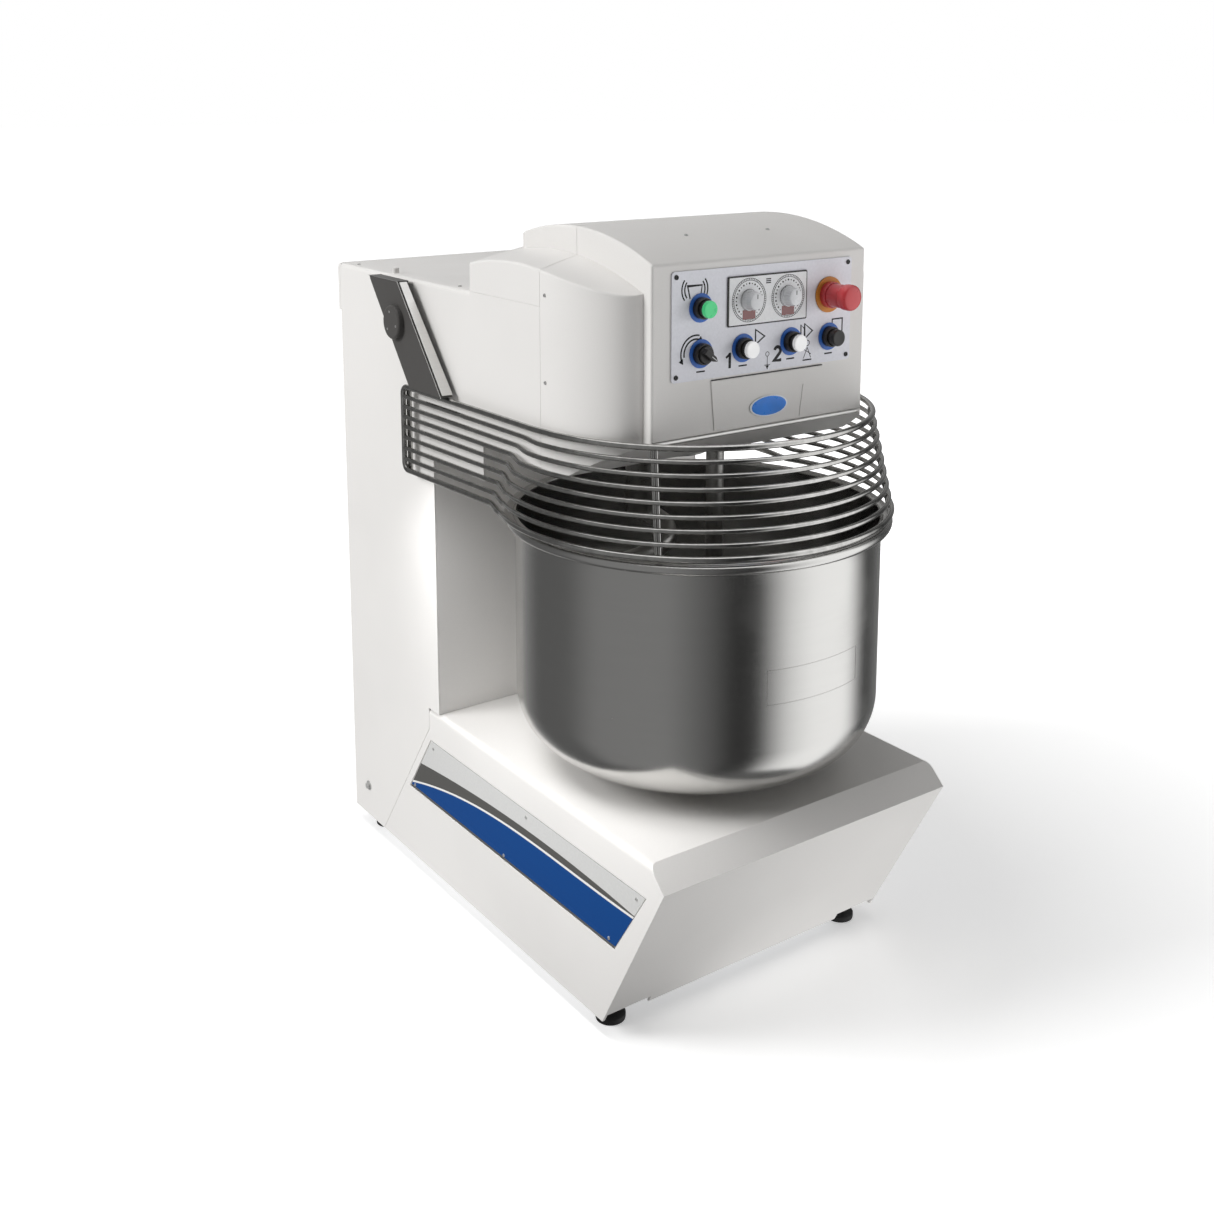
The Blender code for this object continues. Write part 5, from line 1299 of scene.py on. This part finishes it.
def arm_plates(outline, inner):
    """The arm's dark sheet: its face, the walls folded inwards behind and above, and its foot."""
    plate = prism(rounded(outline, 0.004), 0, ARM_OUTSIDE - SHEET, ARM_OUTSIDE)
    shapes = [softened(plate, 0.0006, 2, 40.0)]
    for a, b in ((outline[1], outline[2]), (outline[2], outline[3])):
        a, b = Vector(a), Vector(b)
        along = (b - a).normalized()
        into = Vector((-along.y, along.x)) * SHEET
        a, b = a + along * 0.002, b - along * 0.002
        shapes.append(prism([tuple(p) for p in (a, b, b + into, a + into)], 0, inner, ARM_OUTSIDE - 0.001))
    bottom = outline[0][1]
    foot = [(0.073, bottom), (0.184, bottom), (0.186, bottom + SHEET), (0.075, bottom + SHEET)]
    shapes.append(prism(foot, 0, inner, ARM_OUTSIDE - 0.002))
    return joined(*shapes)


def arms():
    hub = [(0, 0), (0.031, 0), (0.031, 0.0078), (0.0303, 0.0092), (0.0288, 0.0108), (0.0272, 0.0113)]
    hub += [(0.0255, 0.011), (0, 0.011)]
    pin = [(0, 0), (0.021, 0), (0.022, 0.001), (0.022, 0.005), (0.021, 0.006), (0.012, 0.006)]
    pin += [(0.012, 0.035), (0.011, 0.0357), (0, 0.0357)]
    stop = [(0, 0), (0.006, 0), (0.006, 0.01), (0.005, 0.011), (0, 0.011)]
    inner = ARM_OUTSIDE - ARM_DEPTH
    for side in ("left", "right"):
        bottom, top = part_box("guard_arm_" + side)[0].z, 1.1605
        outline = [(0.071, bottom), (0.187, bottom), (0.337, top), (0.225, top - 0.0007)]
        screws = []
        for k in range(3):
            spot = round_point(PIVOT, 0.019, math.radians(75 + 120 * k))
            screws.append(cap_screw((ARM_OUTSIDE + 0.0094, *spot), (1, 0, 0), 0.0026, 0.0014))
        # Thin bright steel bead along the plate's front and top: a painted highlight on the bent edge.
        edge = [(ARM_OUTSIDE, *outline[k]) for k in (2, 3, 0)]
        hub_cap = placed(turned(hub, 72), (ARM_OUTSIDE - 0.0005, *PIVOT), (1, 0, 0))
        pivot = placed(turned(pin, 56), (CASE_HALF + 0.0003, *PIVOT), (1, 0, 0))
        stop_pin = placed(turned(stop, 32), (CASE_HALF - 0.014, 0.318, COLUMN_TOP - 0.001), (0, 0, 1))
        arm, pivot_name = "guard_arm_" + side, "guard_pivot_" + side
        for name, shape, finish, body, node in (
            (arm + "_plate", arm_plates(outline, inner), "dark_paint", "guard", arm),
            (arm + "_flange", arm_flange(outline, inner), "flange_steel", "guard", ()),
            (arm + "_rim", tube(edge, 0.0007, 8), "flange_steel", "guard", ()),
            (arm + "_hub", hub_cap, "dark_paint", "guard", ()),
            (arm + "_hub_screws", joined(*screws), "screw_steel", "guard", ()),
            (pivot_name + "_pin", pivot, "satin_steel", "machine", pivot_name),
            ("guard_stop_" + side, stop_pin, "white_paint", "machine", ()),
        ):
            piece(name, mirrored(shape) if side == "left" else shape, finish, body, node)


# ---------------------------------------------------------------- studio


def stage_piece(name, shape, material, place=(0, 0, 0), rays=None):
    """Part of the studio. rays names the one kind of ray that sees it."""
    mesh = as_mesh(name, shape, outward=False)
    mesh.materials.append(material)
    mesh.shade_smooth()
    made = as_object(name, mesh)
    made.location = place
    if rays:
        for kind in ("camera", "diffuse", "glossy", "transmission", "volume_scatter", "shadow"):
            setattr(made, "visible_" + kind, kind == rays)
    return made


def sheet(size):
    made = bmesh.new()
    bmesh.ops.create_grid(made, x_segments=1, y_segments=1, size=size)
    return made


def glowing(name, radiance):
    """An emission material. radiance makes its strength from the material's own Nodes."""
    made = Nodes(name)
    glow = made.add("ShaderNodeEmission")
    made.feed(glow.inputs["Strength"], radiance(made))
    made.tree.links.new(glow.outputs[0], made.tree.nodes["Material Output"].inputs["Surface"])
    return made.material


def by_azimuth(steps):
    """Brightness by azimuth round the object's own axis, from (degrees from +X, brightness) steps."""

    def radiance(nodes):
        split = nodes.add("ShaderNodeSeparateXYZ")
        nodes.feed(split.inputs[0], nodes.place)
        back, left = (nodes.math("MULTIPLY", split.outputs[axis], -1) for axis in ("Y", "X"))
        turn = nodes.math("ARCTAN2", back, left)
        share = nodes.math("ADD", nodes.math("DIVIDE", turn, 2 * math.pi), 0.5)
        return nodes.ramp(share, *[(angle / 360, brightness) for angle, brightness in steps])

    return radiance


# Of the round screen that only gloss and metal mirror, and of the plane that lights matt surfaces from below.
MIRRORED = [(0, 0.06), (40, 0.3), (75, 0.55), (100, 0.3), (118, 0.13), (150, 0.14), (170, 0.26), (215, 0.27)]
MIRRORED += [(240, 0.13), (254, 0.03), (268, 0.03), (288, 0.95), (304, 1.25), (334, 1.3), (348, 0.25)]
MIRRORED += [(354, 0.04), (360, 0.04)]
BOUNCED = [(0, 0.95), (90, 0.8), (150, 0.9), (190, 0.76), (240, 0.44), (262, 1.18), (300, 1.32), (330, 1.05)]
BOUNCED += [(360, 0.95)]


def lamp(name, place, target, size, power, spread=180.0):
    light = bpy.data.lights.new(name, "AREA")
    light.shape = "RECTANGLE"
    light.size, light.size_y = size
    light.energy = power
    light.spread = math.radians(spread)
    made = as_object(name, light)
    made.location = place
    made.rotation_euler = (Vector(target) - Vector(place)).to_track_quat("-Z", "Y").to_euler()
    made.visible_glossy = False
    made.visible_camera = False


FLOOR_REACH, SCREEN_RADIUS = 60, 3.4


def studio():
    floor = Nodes("studio_floor")
    pale = floor.ramp(floor.noise(3.0, 2.0), (0.3, 0.9), (0.7, 0.915))
    floor.set(Base_Color=pale, Roughness=0.9, Specular_IOR_Level=0.1)
    # Painted light: the floor glows more the further it lies from the machine, so it is darker round the
    # machine's foot and fades to white further out.
    distance = floor.add("ShaderNodeVectorMath", operation="LENGTH")
    floor.feed(distance.inputs[0], floor.place)
    spread = floor.math("DIVIDE", distance.outputs["Value"], 4.0)
    glow = floor.ramp(spread, (0.18, 0.42), (0.5, 0.95), (0.8, 1.05))
    floor.set(Emission_Color=(1, 1, 1, 1), Emission_Strength=glow)
    ground = stage_piece("floor", sheet(FLOOR_REACH), floor.material)
    ground.visible_glossy = False
    ground.visible_diffuse = False

    dome = turned([(70, -1), (70, 40), (0, 60), (0, 61), (71, 41), (71, -1)], 48)
    stage_piece("backdrop", dome, glowing("backdrop", lambda nodes: 1.0), rays="camera")
    bounce = glowing("bounce", by_azimuth(BOUNCED))
    stage_piece("bounce", sheet(FLOOR_REACH), bounce, (0, 0, -0.002), "diffuse")
    near, far = SCREEN_RADIUS, SCREEN_RADIUS + 0.05
    drum = placed(turned([(near, -5.0), (near, 5.0), (far, 5.0), (far, -5.0)], 96), (0, 0, 0.6))
    stage_piece("screen", drum, glowing("screen", by_azimuth(MIRRORED)), (0, BOWL_Y, 0), "glossy")
    lid = bmesh.new()
    bmesh.ops.create_circle(lid, cap_ends=True, segments=64, radius=SCREEN_RADIUS)
    stage_piece("ceiling", lid, glowing("ceiling", lambda nodes: 1.25), (0, BOWL_Y, 5.5), "glossy")

    world = bpy.data.worlds.new("studio")
    bpy.context.scene.world = world
    world.use_nodes = True
    background = world.node_tree.nodes["Background"]
    background.inputs["Color"].default_value = (1.0, 0.995, 0.99, 1)
    background.inputs["Strength"].default_value = 0.11
    lamp("key", (-6.4, 2.8, 4.4), (0, 0, 0.6), (3.2, 3.2), 455.0)
    lamp("top", (-0.5, 0.5, 4.8), (0, 0, 0.6), (2.6, 2.6), 50.0)
    lamp("front", (2.7, -2.4, 1.5), (0.0, -0.4, 1.12), (1.2, 1.0), 1.2, 32.0)
    lamp("deck", (-0.46, -0.22, 0.8), (-0.24, -0.22, 0.43), (0.8, 0.16), 1.25, 110.0)
    lamp("rim", (3.6, 1.6, 2.6), (0, 0, 0.7), (1.6, 2.0), 18.0)


def camera():
    # The lens, shift, place and turn were fitted to the photograph's perspective.
    data = bpy.data.cameras.new("camera")
    data.sensor_width = 36.0
    data.lens = 43.39
    data.shift_x = -0.006
    data.shift_y = -0.2203
    made = as_object("camera", data)
    made.location = (-1.512, -2.102, 1.494)
    made.rotation_euler = (math.radians(80.354), 0.0, math.radians(-35.408))
    bpy.context.scene.camera = made


def main():
    camera()
    base()
    column()
    head()
    front_plate()
    bowl()
    hook()
    drive()
    controls()
    guard()
    arms()
    studio()
    for node, obj in NODES.items():
        if not obj.hide_render:
            obj.data.materials.clear()
            obj.data.materials.append(MATERIALS[SLOT_OF[node]])
    bpy.context.scene.view_settings.view_transform = "Standard"


main()
